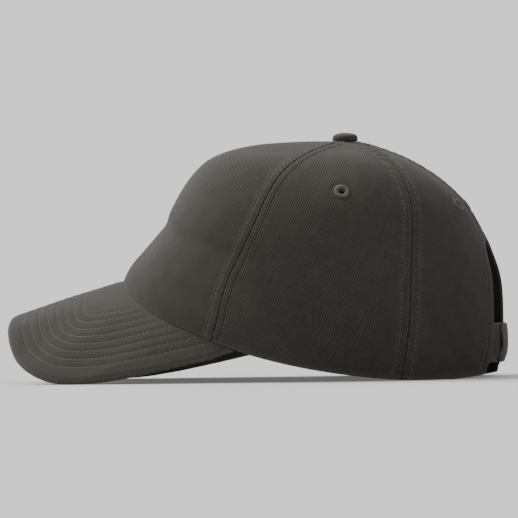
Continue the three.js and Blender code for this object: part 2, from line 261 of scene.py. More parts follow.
@dataclass(frozen=True)
class Drape:
    """Soft waves that cloth keeps from its washing, the same on every run."""

    depth: float
    length: float
    seed: int
    waves: int = 7

    def at(self, points: Array) -> Array:
        """How far the cloth stands out at each point."""
        draw = np.random.default_rng(self.seed)
        turns = unit(draw.normal(size=(self.waves, 3)))
        pitches = 2 * math.pi / (self.length * draw.uniform(0.7, 1.5, self.waves))
        phases = draw.uniform(0, 2 * math.pi, self.waves)
        waves = np.sin(points @ (turns * pitches[:, None]).T + phases)
        return self.depth * waves.sum(axis=-1) / math.sqrt(self.waves)


def math_method(operation: str, reflected: bool = False) -> Callable[["Value", Any], "Value"]:
    """A method that adds a Math node for a value and another, the other first if reflected."""

    def method(value: "Value", other: Any) -> "Value":
        """The Math node's result."""
        first, second = (other, value) if reflected else (value, other)
        return value.graph.math(operation, first, second)

    return method


class Value:
    """A number in a shader. Arithmetic on it adds Math nodes."""

    def __init__(self, graph: "Graph", socket: bpy.types.NodeSocket) -> None:
        """Wraps a socket of a graph."""
        self.graph = graph
        self.socket = socket

    __add__, __radd__ = math_method("ADD"), math_method("ADD", True)
    __sub__, __rsub__ = math_method("SUBTRACT"), math_method("SUBTRACT", True)
    __mul__, __rmul__ = math_method("MULTIPLY"), math_method("MULTIPLY", True)
    __truediv__, __pow__ = math_method("DIVIDE"), math_method("POWER")

    def wave(self) -> "Value":
        """A wave from 0 to 1 and back for each whole number that the value passes."""
        return 0.5 + 0.5 * self.graph.math("SINE", self * (2 * math.pi))

    def clamped(self) -> "Value":
        """The value held between 0 and 1."""
        return self.graph.math("MINIMUM", self.graph.math("MAXIMUM", self, 0.0), 1.0)


class Nodes:
    """A node tree whose nodes all come from one method."""

    def __init__(self, tree: bpy.types.NodeTree) -> None:
        """Wraps a tree."""
        self.tree = tree

    def node(
        self, kind: str, settings: dict[str, Any] | None = None, inputs: dict[str, Any] | None = None
    ) -> bpy.types.Node:
        """Adds a node.

        Args:
            kind: The node's type.
            settings: Its own properties, which are set first.
            inputs: Values or links of its sockets, by identifier.

        Returns:
            The node.
        """
        node = self.tree.nodes.new(kind)
        for key, value in (settings or {}).items():
            setattr(node, key, value)
        sockets = {socket.identifier: socket for socket in node.inputs}
        for key, value in (inputs or {}).items():
            self.put(sockets[key], value)
        return node

    def result(
        self, kind: str, settings: dict[str, Any] | None = None, inputs: dict[str, Any] | None = None
    ) -> bpy.types.NodeSocket:
        """The first output of a new node."""
        return self.node(kind, settings, inputs).outputs[0]

    def put(self, socket: bpy.types.NodeSocket, value: Any) -> None:
        """Links a value to a socket, or sets the socket to it."""
        if isinstance(value, Value):
            value = value.socket
        if isinstance(value, bpy.types.NodeSocket):
            self.tree.links.new(value, socket)
        else:
            socket.default_value = value


class Graph(Nodes):
    """A material's nodes, ending in one surface shader."""

    def __init__(self, name: str) -> None:
        """Makes an empty material."""
        self.material = bpy.data.materials.new(name)
        self.material.use_nodes = True
        super().__init__(self.material.node_tree)
        self.tree.nodes.clear()

    def math(self, operation: str, first: Any, second: Any = None) -> Value:
        """The result of a Math node on one or two values."""
        inputs = {"Value": first} if second is None else {"Value": first, "Value_001": second}
        return Value(self, self.node("ShaderNodeMath", {"operation": operation}, inputs).outputs[0])

    def mix(self, factor: Any, low: Any, high: Any) -> bpy.types.NodeSocket:
        """A colour between two colours."""
        inputs = {"Factor_Float": factor, "A_Color": low, "B_Color": high}
        node = self.node("ShaderNodeMix", {"data_type": "RGBA"}, inputs)
        return next(socket for socket in node.outputs if socket.identifier == "Result_Color")

    def noise(self, vector: Any, scale: float, detail: float = 2.0) -> Value:
        """Smooth noise round 0.5 at a scale in turns a unit of the vector."""
        inputs = {"Vector": vector, "Scale": scale, "Detail": detail}
        return Value(self, self.node("ShaderNodeTexNoise", {}, inputs).outputs["Fac"])

    def attribute(self, name: str) -> Value:
        """A number that the mesh carries."""
        return Value(self, self.node("ShaderNodeAttribute", {"attribute_name": name}).outputs["Fac"])

    def parts(self, vector: Any) -> tuple[Value, Value, Value]:
        """The three numbers of a vector."""
        outputs = self.node("ShaderNodeSeparateXYZ", {}, {"Vector": vector}).outputs
        return Value(self, outputs[0]), Value(self, outputs[1]), Value(self, outputs[2])

    def joined(self, x: Any, y: Any, z: Any = 0.0) -> bpy.types.NodeSocket:
        """A vector of three numbers."""
        return self.node("ShaderNodeCombineXYZ", {}, {"X": x, "Y": y, "Z": z}).outputs[0]

    def surface(self, shader: dict[str, Any], bump: Value | None, distance: float, strength: float) -> None:
        """Ends the graph in a surface shader.

        Args:
            shader: Values or links of the shader's sockets.
            bump: The relief, from 0 to 1, that is too fine for the mesh.
            distance: The relief's depth.
            strength: How much of it shows.
        """
        if bump is not None:
            inputs = {"Height": bump, "Distance": distance, "Strength": strength}
            shader = shader | {"Normal": self.node("ShaderNodeBump", {}, inputs).outputs[0]}
        principled = self.node("ShaderNodeBsdfPrincipled", {}, shader)
        self.node("ShaderNodeOutputMaterial", {}, {"Surface": principled.outputs[0]})


def opaque(color: Color) -> tuple[float, float, float, float]:
    """The colour with full alpha."""
    return (*color, 1.0)


@dataclass(frozen=True)
class TwillFinish:
    """Washed cotton twill: diagonal ribs of fine yarns, faded unevenly and rubbed at its folds."""

    name: str
    lean: float
    tone: float = 1.0
    contrast: float = 1.0
    pressed_contrast: float = 0.5
    rib_pitch: float = 1.3 * MM
    yarn_pitch: float = 0.7 * MM
    furrow: Color = (0.0168, 0.0157, 0.0128)
    rib: Color = (0.0448, 0.0418, 0.0352)
    rubbed: Color = (0.07, 0.067, 0.057)
    # The reverse side's paler colour, made lighter still as painted light for the cap's shaded inside and
    # the visor's underside
    reverse_with_painted_light: Color = (0.09, 0.088, 0.075)
    # Painted shade, nearly black, in the gap along each seam between two panels
    seam_shade: Color = (0.006, 0.006, 0.005)
    relief: float = 0.16 * MM
    sheen: float = 0.1
    sheen_tint: Color = (0.7, 0.7, 0.66)
    # Turns of each noise in a metre of cloth: the ribs' wandering, thick and thin yarn, faded
    # streaks along a rib, flecks of fibre, washed out clouds and smaller patches
    drift_scale: float = 60.0
    slub_scale: float = 210.0
    streak_scale: float = 45.0
    fleck_scale: float = 1500.0
    cloud_scale: float = 17.0
    patch_scale: float = 130.0
    # How much the flecks, clouds and patches lighten or darken the cloth
    fleck_share: float = 0.62
    cloud_share: float = 0.6
    patch_share: float = 0.4

    def _toned(self, color: Color) -> tuple[float, float, float, float]:
        """A colour at the piece's tone."""
        return opaque((color[0] * self.tone, color[1] * self.tone, color[2] * self.tone))

    def material(self) -> bpy.types.Material:
        """Builds the finish from the piece's cloth map, whose units are metres.

        Returns:
            The material.
        """
        graph = Graph(self.name)
        cloth = graph.result("ShaderNodeUVMap", {"uv_map": CLOTH_UV})
        turn = (0.0, 0.0, -math.radians(self.lean))
        turned = graph.result("ShaderNodeMapping", {}, {"Vector": cloth, "Rotation": turn})
        length, across, _ = graph.parts(turned)
        drift = graph.noise(cloth, self.drift_scale) - 0.5
        rib_place = across / self.rib_pitch + 0.5 * drift
        rib = rib_place.wave() ** 1.3
        yarn = (length / self.yarn_pitch + rib_place * 0.5 + 0.6 * drift).wave()
        slub = graph.noise(graph.joined(rib_place, length * self.slub_scale), 1.0)
        streak = graph.noise(graph.joined(rib_place * 0.7, length * self.streak_scale), 1.0)
        fleck = graph.noise(cloth, self.fleck_scale) - 0.5
        cloud = graph.noise(cloth, self.cloud_scale, 3.0) - 0.5
        patch = graph.noise(cloth, self.patch_scale, 3.0) - 0.5
        woven = rib * (0.02 + 0.75 * slub + 0.5 * streak + 0.12 * yarn) - 0.25
        pressed = 1 + self.pressed_contrast * graph.attribute(PRESSED_ATTRIBUTE)
        light = 0.42 + self.contrast * pressed * woven
        light = light + self.fleck_share * fleck + self.cloud_share * cloud + self.patch_share * patch
        color = graph.mix(light.clamped(), self._toned(self.furrow), self._toned(self.rib))
        wear = graph.attribute(WEAR_ATTRIBUTE) * (0.3 + 0.9 * rib * slub)
        color = graph.mix(wear.clamped(), color, self._toned(self.rubbed))
        # The reverse side's paler colour, with painted light on the inner faces and the visor's underside,
        # which lie in shade
        inside = (0.25 + 0.5 * rib + 0.6 * fleck).clamped()
        back = graph.mix(inside, self._toned(self.rib), self._toned(self.reverse_with_painted_light))
        color = graph.mix(graph.attribute(REVERSE_AND_PAINTED_LIGHT_ATTRIBUTE).clamped(), color, back)
        # Painted shade in the gap along each seam
        color = graph.mix(graph.attribute(SEAM_SHADE_ATTRIBUTE).clamped(), color, opaque(self.seam_shade))
        shader = {
            "Base Color": color,
            "Roughness": (0.88 + 0.16 * fleck - 0.05 * rib).clamped(),
            "Specular IOR Level": 0.1,
            "Sheen Weight": self.sheen,
            "Sheen Roughness": 0.4,
            "Sheen Tint": opaque(self.sheen_tint),
        }
        height = rib * (0.62 + 0.3 * yarn) + 0.28 * fleck
        graph.surface(shader, height, self.relief, 0.4 + 0.3 * self.contrast)
        return graph.material


@dataclass(frozen=True)
class ThreadFinish:
    """Spun sewing thread of twisted plies."""

    name: str
    shade: Color = (0.05, 0.048, 0.04)
    light: Color = (0.125, 0.121, 0.104)
    plies: float = 2.0
    twist: float = 3.0
    relief: float = 0.06 * MM
    # Turns of each noise in a metre: the thread's fuzz, and its uneven dye
    fuzz_scale: float = 2600.0
    dye_scale: float = 60.0

    def material(self) -> bpy.types.Material:
        """Builds the finish, with its plies on each stitch's own map.

        Returns:
            The material.
        """
        graph = Graph(self.name)
        place = graph.node("ShaderNodeTexCoord").outputs["Object"]
        fuzz = graph.noise(place, self.fuzz_scale)
        dye = graph.noise(place, self.dye_scale)
        around, length, _ = graph.parts(graph.result("ShaderNodeUVMap", {"uv_map": THREAD_UV}))
        ply = (around * self.plies + length * self.twist).wave()
        light = (0.18 + 0.5 * ply + 0.5 * (fuzz - 0.5) + 0.7 * (dye - 0.5)).clamped()
        shader = {
            "Base Color": graph.mix(light, opaque(self.shade), opaque(self.light)),
            "Roughness": (0.66 + 0.2 * fuzz).clamped(),
            "Specular IOR Level": 0.2,
            "Sheen Weight": 0.1,
            "Sheen Roughness": 0.4,
        }
        graph.surface(shader, ply, self.relief, 0.5)
        return graph.material


@dataclass(frozen=True)
class FloorFinish:
    """A matt pale light table under the cap, so that its shadow stays soft."""

    name: str = "pale_light_table"
    tone: Color = (0.376, 0.376, 0.3745)
    glow: float = 0.12
    grain_tone: float = 0.985
    grain_scale: float = 900.0

    def material(self) -> bpy.types.Material:
        """Builds the finish.

        Returns:
            The material.
        """
        graph = Graph(self.name)
        place = graph.node("ShaderNodeTexCoord").outputs["Object"]
        low = tuple(self.grain_tone * part for part in self.tone)
        shader = {
            "Base Color": graph.mix(graph.noise(place, self.grain_scale), opaque(low), opaque(self.tone)),
            "Roughness": 0.95,
            "Specular IOR Level": 0.05,
            "Emission Color": opaque((1.0, 1.0, 1.0)),
            "Emission Strength": self.glow,
        }
        graph.surface(shader, None, 0, 0)
        return graph.material


def mesh_object(
    name: str,
    points: Array,
    faces: list[list[int]],
    material: bpy.types.Material | None,
    uv: Array | None = None,
    numbers: dict[str, Array] | None = None,
    edges: list[list[int]] | None = None,
) -> bpy.types.Object:
    """Makes a smooth mesh object at the origin.

    Args:
        name: The piece's name.
        points: Vertices.
        faces: Corners of each face.
        material: The finish, or None.
        uv: The cloth map, one row a vertex.
        numbers: Attributes, one number a vertex.
        edges: Edges, where there are no faces.

    Returns:
        The object, linked to the scene.
    """
    mesh = bpy.data.meshes.new(name)
    mesh.from_pydata(points.tolist(), edges or [], faces)
    if uv is not None:
        layer = mesh.uv_layers.new(name=CLOTH_UV)
        corners = np.empty(len(mesh.loops), dtype=np.int32)
        mesh.loops.foreach_get("vertex_index", corners)
        layer.data.foreach_set("uv", uv[corners].astype(np.float32).ravel())
    for key, values in (numbers or {}).items():
        attribute = mesh.attributes.new(key, "FLOAT", "POINT")
        attribute.data.foreach_set("value", values.astype(np.float32).ravel())
    if len(mesh.polygons):
        mesh.polygons.foreach_set("use_smooth", [True] * len(mesh.polygons))
    if material is not None:
        mesh.materials.append(material)
    mesh.update()
    piece = bpy.data.objects.new(name, mesh)
    bpy.context.collection.objects.link(piece)
    return piece


def wall_object(
    name: str,
    outer: Array,
    inner: Array,
    material: bpy.types.Material,
    uv: Array,
    numbers: dict[str, tuple[Array, Array]],
    kept: Array | None = None,
) -> bpy.types.Object:
    """Makes a closed wall between two grids of points of the same size.

    Args:
        name: The piece's name.
        outer: Points of the outer face; columns grow to the right as seen from outside.
        inner: Points of the inner face.
        material: The finish.
        uv: The cloth map, one row a grid point.
        numbers: Attributes, each with its values on the outer and on the inner face.
        kept: The cells that are kept, if some are holes through the wall.

    Returns:
        The object.
    """
    rows, columns = outer.shape[:2]
    offset = rows * columns
    index = np.arange(offset).reshape(rows, columns)
    corners = np.stack([index[:-1, :-1], index[:-1, 1:], index[1:, 1:], index[1:, :-1]], axis=-1)
    if kept is None:
        kept = np.ones(corners.shape[:2], dtype=bool)
    front = corners[kept]
    faces = [front, front[:, ::-1] + offset]
    framed = np.pad(kept, 1)
    beside = [framed[:-2, 1:-1], framed[1:-1, 2:], framed[2:, 1:-1], framed[1:-1, :-2]]
    for side, neighbour in enumerate(beside):
        border = corners[kept & ~neighbour]
        start, end = border[:, side], border[:, (side + 1) % 4]
        faces.append(np.stack([end, start, start + offset, end + offset], axis=1))
    used, faces = np.unique(np.concatenate(faces), return_inverse=True)
    points = np.concatenate([outer.reshape(-1, 3), inner.reshape(-1, 3)])[used]
    maps = np.tile(uv.reshape(-1, 2), (2, 1))[used]
    values = {key: np.stack(pair).ravel()[used] for key, pair in numbers.items()}
    return mesh_object(name, points, faces.reshape(-1, 4).tolist(), material, maps, values)


@dataclass(frozen=True)
class CrownForm:
    """The crown's outer surface, from its main sizes and short tables of their shares."""

    axis: float
    height: float = 132.9 * MM
    front: float = 126.4 * MM
    rear: float = 89.0 * MM
    half_width: float = 77.0 * MM
    rim_front: float = 56.6 * MM
    fullness: float = 0.1
    wall: float = 2.0 * MM
    dent_depth: float = 2.2 * MM
    dent_height: float = 97 * MM
    dent_half_height: float = 13 * MM
    dent_half_width: float = 20 * MM
    top_row: float = 0.993
    lower_part: float = 0.8
    # Each row: rise, front, side, angle of the front seam, angle of the back seam, rear
    sections: Array = field(default_factory=lambda: np.array([
        (0.000, 1.000, 1.000, 64.3, 122.3, 0.983),
        (0.100, 0.969, 1.020, 64.4, 122.8, 1.000),
        (0.220, 0.908, 1.035, 63.2, 123.2, 1.000),
        (0.330, 0.851, 1.035, 62.9, 123.0, 0.994),
        (0.420, 0.810, 1.025, 64.1, 123.7, 0.969),
        (0.520, 0.792, 1.000, 67.3, 126.6, 0.908),
        (0.620, 0.757, 0.955, 70.0, 130.0, 0.839),
        (0.720, 0.710, 0.885, 72.4, 134.0, 0.753),
        (0.810, 0.658, 0.780, 76.2, 138.6, 0.627),
        (0.880, 0.606, 0.640, 82.5, 144.0, 0.486),
        (0.930, 0.530, 0.480, 89.8, 149.4, 0.350),
        (0.965, 0.427, 0.310, 99.8, 153.6, 0.219),
        (0.988, 0.275, 0.160, 112.0, 157.0, 0.112),
        (1.000, 0.000, 0.000, 113.0, 157.5, 0.000),
    ]))
    # Shares of the front's rim height every 15 degrees, from the front to the back
    rim_shares: Array = field(default_factory=lambda: np.array([
        1.000, 0.919, 0.797, 0.620, 0.451, 0.284, 0.155, 0.065, 0.012, -0.006, 0.016, 0.053, 0.060,
    ])[:, None])

    def rim_height(self, angle: Array) -> Array:
        """Height of the crown's lower edge at each angle."""
        from_front = np.arccos(np.cos(np.radians(angle)))
        shares = along(self.rim_shares, from_front / math.pi, True)[..., 0]
        return np.maximum(0, self.rim_front * shares)

    def point(self, angle: Array, row: Array) -> Array:
        """Points of the outer surface; row runs from 0 at the rim to 1 at the button."""
        angle, row = np.broadcast_arrays(np.asarray(angle, float), np.asarray(row, float))
        share = along(self.sections, row)
        front, rear = self.front * share[..., 1], self.rear * share[..., 5]
        cos, sin = np.cos(np.radians(angle)), np.sin(np.radians(angle))
        full = 1 + self.fullness * np.maximum(0, cos) ** 2
        rim = self.rim_height(angle)
        x = (rear - front) / 2 - (rear + front) / 2 * cos
        y = -self.half_width * share[..., 2] * sin * full
        z = rim + (self.height - rim) * share[..., 0]
        away = (y / self.dent_half_width) ** 2 + ((z - self.dent_height) / self.dent_half_height) ** 2
        x = x + np.where(cos > 0, self.dent_depth * np.exp(-away), 0)
        return np.stack([x + self.axis, y, z], axis=-1)

    def normal(self, angle: Array, row: Array, level: bool = False) -> Array:
        """Outward normals of the surface, laid level where asked."""
        angle_step, row_step = 0.05, 0.001
        low, high = np.maximum(0, row - row_step), np.minimum(1 - row_step, row + row_step)
        up = self.point(angle, high) - self.point(angle, low)
        around = self.point(angle + angle_step, row) - self.point(angle - angle_step, row)
        normal = np.cross(around, up)
        if level:
            normal = normal * (1, 1, 0)
        return unit(normal)

    def seam(self, seam: Seam, row: Array) -> Array:
        """Angle of a seam at each row."""
        return along(self.sections, row)[..., seam.value]

    def row_at(self, angle: Array, height: Array) -> Array:
        """The row in the crown's lower part at which the surface has a height."""
        angle, height = np.broadcast_arrays(np.asarray(angle, float), np.asarray(height, float))
        low, high = np.zeros(angle.shape), np.full(angle.shape, self.lower_part)
        return solve(lambda row: self.point(angle, row)[..., 2], height, low, high)

    def behind(self, y: Array, height: Array) -> tuple[Array, Array]:
        """Angle and row of the back's surface at a distance across it and a height."""
        rounds = 12
        angle = np.full(np.shape(y), 180.0)
        for _ in range(rounds):
            row = self.row_at(angle, height)
            side = self.half_width * along(self.sections, row)[..., 2]
            angle = 180 - np.degrees(np.arcsin(np.clip(-np.asarray(y) / side, -1, 1)))
        return angle, self.row_at(angle, height)


@dataclass(frozen=True)
class ArchForm:
    """Outline of the opening at the back, seen from behind."""

    height: float = 76.5 * MM
    spring: float = 36 * MM
    half_width: float = 23.5 * MM
    foot_half_width: float = 30 * MM
    foot_drop: float = 2 * MM
    samples: int = 160

    def outline(self) -> Array:
        """Half widths and heights from the foot to the top."""
        share = np.linspace(0, 1, self.samples)
        rest, cross = (1 - share) ** 2, 2 * share * (1 - share)
        low_y = rest * self.foot_half_width + (cross + share**2) * self.half_width
        low_z = -rest * self.foot_drop + cross * self.spring / 3 + share**2 * self.spring
        turn = np.linspace(0, math.pi / 2, self.samples)[1:]
        high_y = self.half_width * np.cos(turn)
        high_z = self.spring + (self.height - self.spring) * np.sin(turn)
        return np.stack([np.concatenate([low_y, high_y]), np.concatenate([low_z, high_z])], axis=1)

    def width_at(self, height: Array) -> Array:
        """Half width of the opening at a height, 0 above it."""
        outline = self.outline()
        return np.interp(height, outline[:, 1], outline[:, 0], right=0.0)

    def around(self, distance: float) -> Array:
        """The outline moved out by a distance, from the foot up to the top."""
        outline = self.outline()
        step = unit(np.gradient(outline, axis=0))
        moved = outline + distance * np.stack([step[:, 1], -step[:, 0]], axis=1)
        return moved[moved[:, 0] >= 0]


@dataclass
class SewnPath:
    """Where a row of stitches runs: points on the cloth and the cloth's normals there."""

    points: Array
    normals: Array
    closed: bool = False

    @staticmethod
    def of(rows: Array) -> "SewnPath":
        """A path from rows of a point and a normal."""
        return SewnPath(rows[:, :3], unit(rows[:, 3:6]))


@dataclass(frozen=True)
class StitchKind:
    """Sizes of one kind of stitch."""

    pitch: float = 2.6 * MM
    length: float = 2.45 * MM
    width: float = 0.4 * MM
    height: float = 0.34 * MM
    across: bool = False
    uneven: float = 0.12
    seed: int = 1


class SewingTree(Nodes):
    """A Geometry Nodes tree that lays pieces of thread one after another along a path."""

    def __init__(self, name: str, sizes: dict[str, str]) -> None:
        """Makes a tree with its input and its output.

        Args:
            name: The tree's name.
            sizes: Kind of each input besides the path, the seed and the thread, by name.
        """
        super().__init__(bpy.data.node_groups.new(name, "GeometryNodeTree"))
        sockets = {"Geometry": "Geometry"} | sizes | {"Seed": "Int", "Thread": "Material"}
        for title, kind in sockets.items():
            self.tree.interface.new_socket(title, in_out="INPUT", socket_type=f"NodeSocket{kind}")
        self.tree.interface.new_socket("Geometry", in_out="OUTPUT", socket_type="NodeSocketGeometry")
        self.given = self.node("NodeGroupInput")
        self.out = self.node("NodeGroupOutput")

    def input(self, title: str) -> bpy.types.NodeSocket:
        """One of the tree's inputs."""
        return self.given.outputs[title]

    def places(self, measure: str, title: str) -> bpy.types.NodeSocket:
        """Even places on the path, whose length apart or count is the input of a title."""
        curve = self.result("GeometryNodeMeshToCurve", {}, {"Mesh": self.input("Geometry")})
        inputs = {"Curve": curve, measure.title(): self.input(title)}
        return self.result("GeometryNodeResampleCurve", {"mode": measure}, inputs)

    def turned(self, along_normal: str, along_path: str) -> bpy.types.NodeSocket:
        """The rotation that lays one axis on the cloth's normal and one on the path's tangent."""
        vector = {"data_type": "FLOAT_VECTOR"}
        normal = self.result("GeometryNodeInputNamedAttribute", vector, {"Name": NORMAL_ATTRIBUTE})
        axes = {"primary_axis": along_normal, "secondary_axis": along_path}
        inputs = {"Primary Axis": normal, "Secondary Axis": self.result("GeometryNodeInputTangent")}
        return self.result("FunctionNodeAxesToRotation", axes, inputs)

    def lay(
        self,
        places: bpy.types.NodeSocket,
        piece: bpy.types.NodeSocket,
        rotation: bpy.types.NodeSocket,
        scale: bpy.types.NodeSocket,
    ) -> bpy.types.NodeTree:
        """Lays a piece at each place, makes the copies real, dresses them and ends the tree.

        Args:
            places: Where the copies go.
            piece: The piece of thread.
            rotation: How each copy is turned.
            scale: How each copy is scaled.

        Returns:
            The tree.
        """
        inputs = {"Points": places, "Instance": piece, "Rotation": rotation, "Scale": scale}
        laid = self.result("GeometryNodeInstanceOnPoints", {}, inputs)
        real = self.result("GeometryNodeRealizeInstances", {}, {"Geometry": laid})
        inputs = {"Geometry": real, "Material": self.input("Thread")}
        self.put(self.out.inputs[0], self.result("GeometryNodeSetMaterial", {}, inputs))
        return self.tree


def stitch_tree() -> bpy.types.NodeTree:
    """The tree that lays one grain of thread at every pitch of a path.

    Returns:
        The tree.
    """
    sizes = ("Pitch", "Length", "Width", "Height", "Turn", "Uneven")
    tree = SewingTree("stitches", dict.fromkeys(sizes, "Float"))
    inputs = {"Axis": (0.0, 0.0, 1.0), "Angle": tree.input("Turn")}
    turn = tree.result("FunctionNodeAxisAngleToRotation", {}, inputs)
    inputs = {"Rotation": tree.turned("Z", "X"), "Rotate By": turn}
    turned = tree.result("FunctionNodeRotateRotation", {"rotation_space": "LOCAL"}, inputs)
    grain = tree.node("GeometryNodeMeshUVSphere", {}, {"Segments": 6, "Rings": 5, "Radius": 0.5})
    inputs = {"Geometry": grain.outputs[0], "Name": THREAD_UV, "Value": grain.outputs[1]}
    corners = {"data_type": "FLOAT2", "domain": "CORNER"}
    mapped = tree.result("GeometryNodeStoreNamedAttribute", corners, inputs)
    smooth = tree.result("GeometryNodeSetShadeSmooth", {}, {"Geometry": mapped})
    inputs = {"X": tree.input("Length"), "Y": tree.input("Width"), "Z": tree.input("Height")}
    size = tree.result("ShaderNodeCombineXYZ", {}, inputs)
    inputs = {"Value": 1.0, "Value_001": tree.input("Uneven")}
    least = tree.result("ShaderNodeMath", {"operation": "SUBTRACT"}, inputs)
    inputs = {"Min_001": least, "Max_001": 1.0, "Seed": tree.input("Seed")}
    random = tree.node("FunctionNodeRandomValue", {"data_type": "FLOAT"}, inputs)
    share = next(socket for socket in random.outputs if socket.identifier == "Value_001")
    scaled = tree.result("ShaderNodeVectorMath", {"operation": "SCALE"}, {"Vector": size, "Scale": share})
    return tree.lay(tree.places("LENGTH", "Pitch"), smooth, turned, scaled)


def wrap_tree() -> bpy.types.NodeTree:
    """The tree that winds loops of thread round a ring.

    Returns:
        The tree.
    """
    sizes = ("Half Depth", "Half Width", "Thread Radius")
    tree = SewingTree("wraps", {"Loops": "Int"} | dict.fromkeys(sizes, "Float"))
    loop = tree.result("GeometryNodeCurvePrimitiveCircle", {}, {"Resolution": 14, "Radius": 1.0})
    inputs = {"X": tree.input("Half Depth"), "Y": tree.input("Half Width"), "Z": 1.0}
    size = tree.result("ShaderNodeCombineXYZ", {}, inputs)
    oval = tree.result("GeometryNodeTransform", {}, {"Geometry": loop, "Scale": size})
    inputs = {"Resolution": 6, "Radius": tree.input("Thread Radius")}
    section = tree.result("GeometryNodeCurvePrimitiveCircle", {}, inputs)
    strand = tree.result("GeometryNodeCurveToMesh", {}, {"Curve": oval, "Profile Curve": section})
    smooth = tree.result("GeometryNodeSetShadeSmooth", {}, {"Geometry": strand})
    inputs = {"Min": (0.95, 0.93, 0.9), "Max": (1.03, 1.05, 1.1), "Seed": tree.input("Seed")}
    uneven = tree.result("FunctionNodeRandomValue", {"data_type": "FLOAT_VECTOR"}, inputs)
    return tree.lay(tree.places("COUNT", "Loops"), smooth, tree.turned("X", "Z"), uneven)


class Needle:
    """Sews rows of stitches along paths with Geometry Nodes."""

    def __init__(self, thread: bpy.types.Material) -> None:
        """Builds both trees, one for stitches and one for the loops that wrap an eyelet."""
        self.thread = thread
        self.stitches = stitch_tree()
        self.wraps = wrap_tree()

    @staticmethod
    def _drawn(name: str, paths: list[SewnPath]) -> bpy.types.Object:
        """A mesh of the paths' points and edges that carries the cloth's normals."""
        points, edges, start = [], [], 0
        for path in paths:
            count = len(path.points)
            steps = np.arange(start, start + count)
            links = np.stack([steps[:-1], steps[1:]], axis=1)
            edges.append(np.vstack([links, [steps[-1], steps[0]]]) if path.closed else links)
            points.append(path.points)
            start += count
        drawn = mesh_object(name, np.concatenate(points), [], None, edges=np.concatenate(edges).tolist())
        attribute = drawn.data.attributes.new(NORMAL_ATTRIBUTE, "FLOAT_VECTOR", "POINT")
        normals = np.concatenate([path.normals for path in paths])
        attribute.data.foreach_set("vector", normals.astype(np.float32).ravel())
        return drawn

    @staticmethod
    def _made(
        drawn: bpy.types.Object, tree: bpy.types.NodeTree, values: dict[str, Any]
    ) -> bpy.types.Object:
        """Runs a tree on the drawn paths and turns its result into a plain mesh.

        Args:
            drawn: The paths.
            tree: The tree.
            values: What its inputs are set to, by name.

        Returns:
            The piece, under the paths' name.
        """
        modifier = drawn.modifiers.new("sewing", "NODES")
        modifier.node_group = tree
        for item in tree.interface.items_tree:
            if item.item_type == "SOCKET" and item.in_out == "INPUT" and item.name in values:
                modifier[item.identifier] = values[item.name]
        graph = bpy.context.evaluated_depsgraph_get()
        mesh = bpy.data.meshes.new_from_object(drawn.evaluated_get(graph), depsgraph=graph)
        drawn.modifiers.remove(modifier)
        paths = drawn.data
        drawn.data = mesh
        bpy.data.meshes.remove(paths)
        mesh.name = drawn.name
        return drawn

    def sew(
        self, name: str, paths: list[SewnPath], kind: StitchKind, thread: bpy.types.Material | None = None
    ) -> bpy.types.Object:
        """Sews a row of stitches along each path.

        Args:
            name: The piece's name.
            paths: The rows.
            kind: The stitch.
            thread: Its thread, or None for the usual one.

        Returns:
            The piece, riding on the cap.
        """
        values = {
            "Pitch": kind.pitch,
            "Length": kind.length,
            "Width": kind.width,
            "Height": kind.height,
            "Turn": math.pi / 2 if kind.across else 0.0,
            "Uneven": kind.uneven,
            "Seed": kind.seed,
            "Thread": thread or self.thread,
        }
        return carried(self._made(self._drawn(name, paths), self.stitches, values), Slot.THREAD)

    def wind(
        self, name: str, ring: SewnPath, loops: int, sizes: tuple[float, float, float], seed: int
    ) -> bpy.types.Object:
        """Winds loops of thread round a ring.

        Args:
            name: The piece's name.
            ring: The ring's middle line.
            loops: How many loops.
            sizes: Half depth and half width of a loop, and the thread's radius.
            seed: Seed of their unevenness.

        Returns:
            The piece.
        """
        values = {
            "Loops": loops,
            "Half Depth": sizes[0],
            "Half Width": sizes[1],
            "Thread Radius": sizes[2],
            "Seed": seed,
            "Thread": self.thread,
        }
        return self._made(self._drawn(name, [ring]), self.wraps, values)


def carried(piece: bpy.types.Object, slot: Slot, *nodes: str) -> bpy.types.Object:
    """Makes a piece ride on the cap and stand for the solids that it replaces, which are hidden.

    Args:
        piece: The finished piece.
        slot: The record's material slot; not used.
        nodes: The solids that it stands for.

    Returns:
        The piece.
    """
    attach(piece, BODY)
    if nodes:
        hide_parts(*nodes)
    log.info("%s: %d faces", piece.name, len(piece.data.polygons))
    return piece


@dataclass(frozen=True)
class Turning:
    """A turned edge: how far in its stitched row runs, its bulk, and where the bulk ends."""

    row: float
    bulk: float
    end: float

    def raised(self, distance: Array) -> Array:
        """How far the turned cloth stands out at a distance from the edge."""
        return self.bulk * (1 - smoothstep(distance, self.row, self.end))


@dataclass(frozen=True)
class Hem:
    """How the cloth is turned and sewn along its edges."""

    seam: Turning = Turning(4.7 * MM, 0.42 * MM, 6.4 * MM)
    rim: Turning = Turning(3.1 * MM, 0.25 * MM, 4.6 * MM)
    arch: Turning = Turning(5.6 * MM, 0.4 * MM, 7.4 * MM)
    roll: float = 0.85 * MM
    inner_roll: float = 1.0 * MM
    furrow_depth: float = 0.4 * MM
    furrow_half_width: float = 0.75 * MM
    pucker_depth: float = 0.13 * MM
    pucker_length: float = 5.4 * MM
    pucker_end: float = 10.81 * MM
    pucker_sway: float = 2.2
    pucker_sway_pitches: float = 5.3
    pucker_lean: float = 0.4
    free_end: float = 22 * MM
    allowance: float = 0.45 * MM
    allowance_ends: tuple[float, float] = (4.6 * MM, 5.6 * MM)
    turned_in: float = 8.5 * MM
    # Close to the arch the lightened reverse colour starts near the edge: painted light in the opening's
    # shade
    arch_turned_in: float = 2.2 * MM
    turned_in_blur: float = 0.3 * MM
    # The band of painted shade along each seam's gap
    seam_shade: Band = Band(1.0, 0.0, 0.24 * MM)
    eyelet_pull: Band = Band(0.3 * MM, 5.6 * MM, 1.1 * MM)


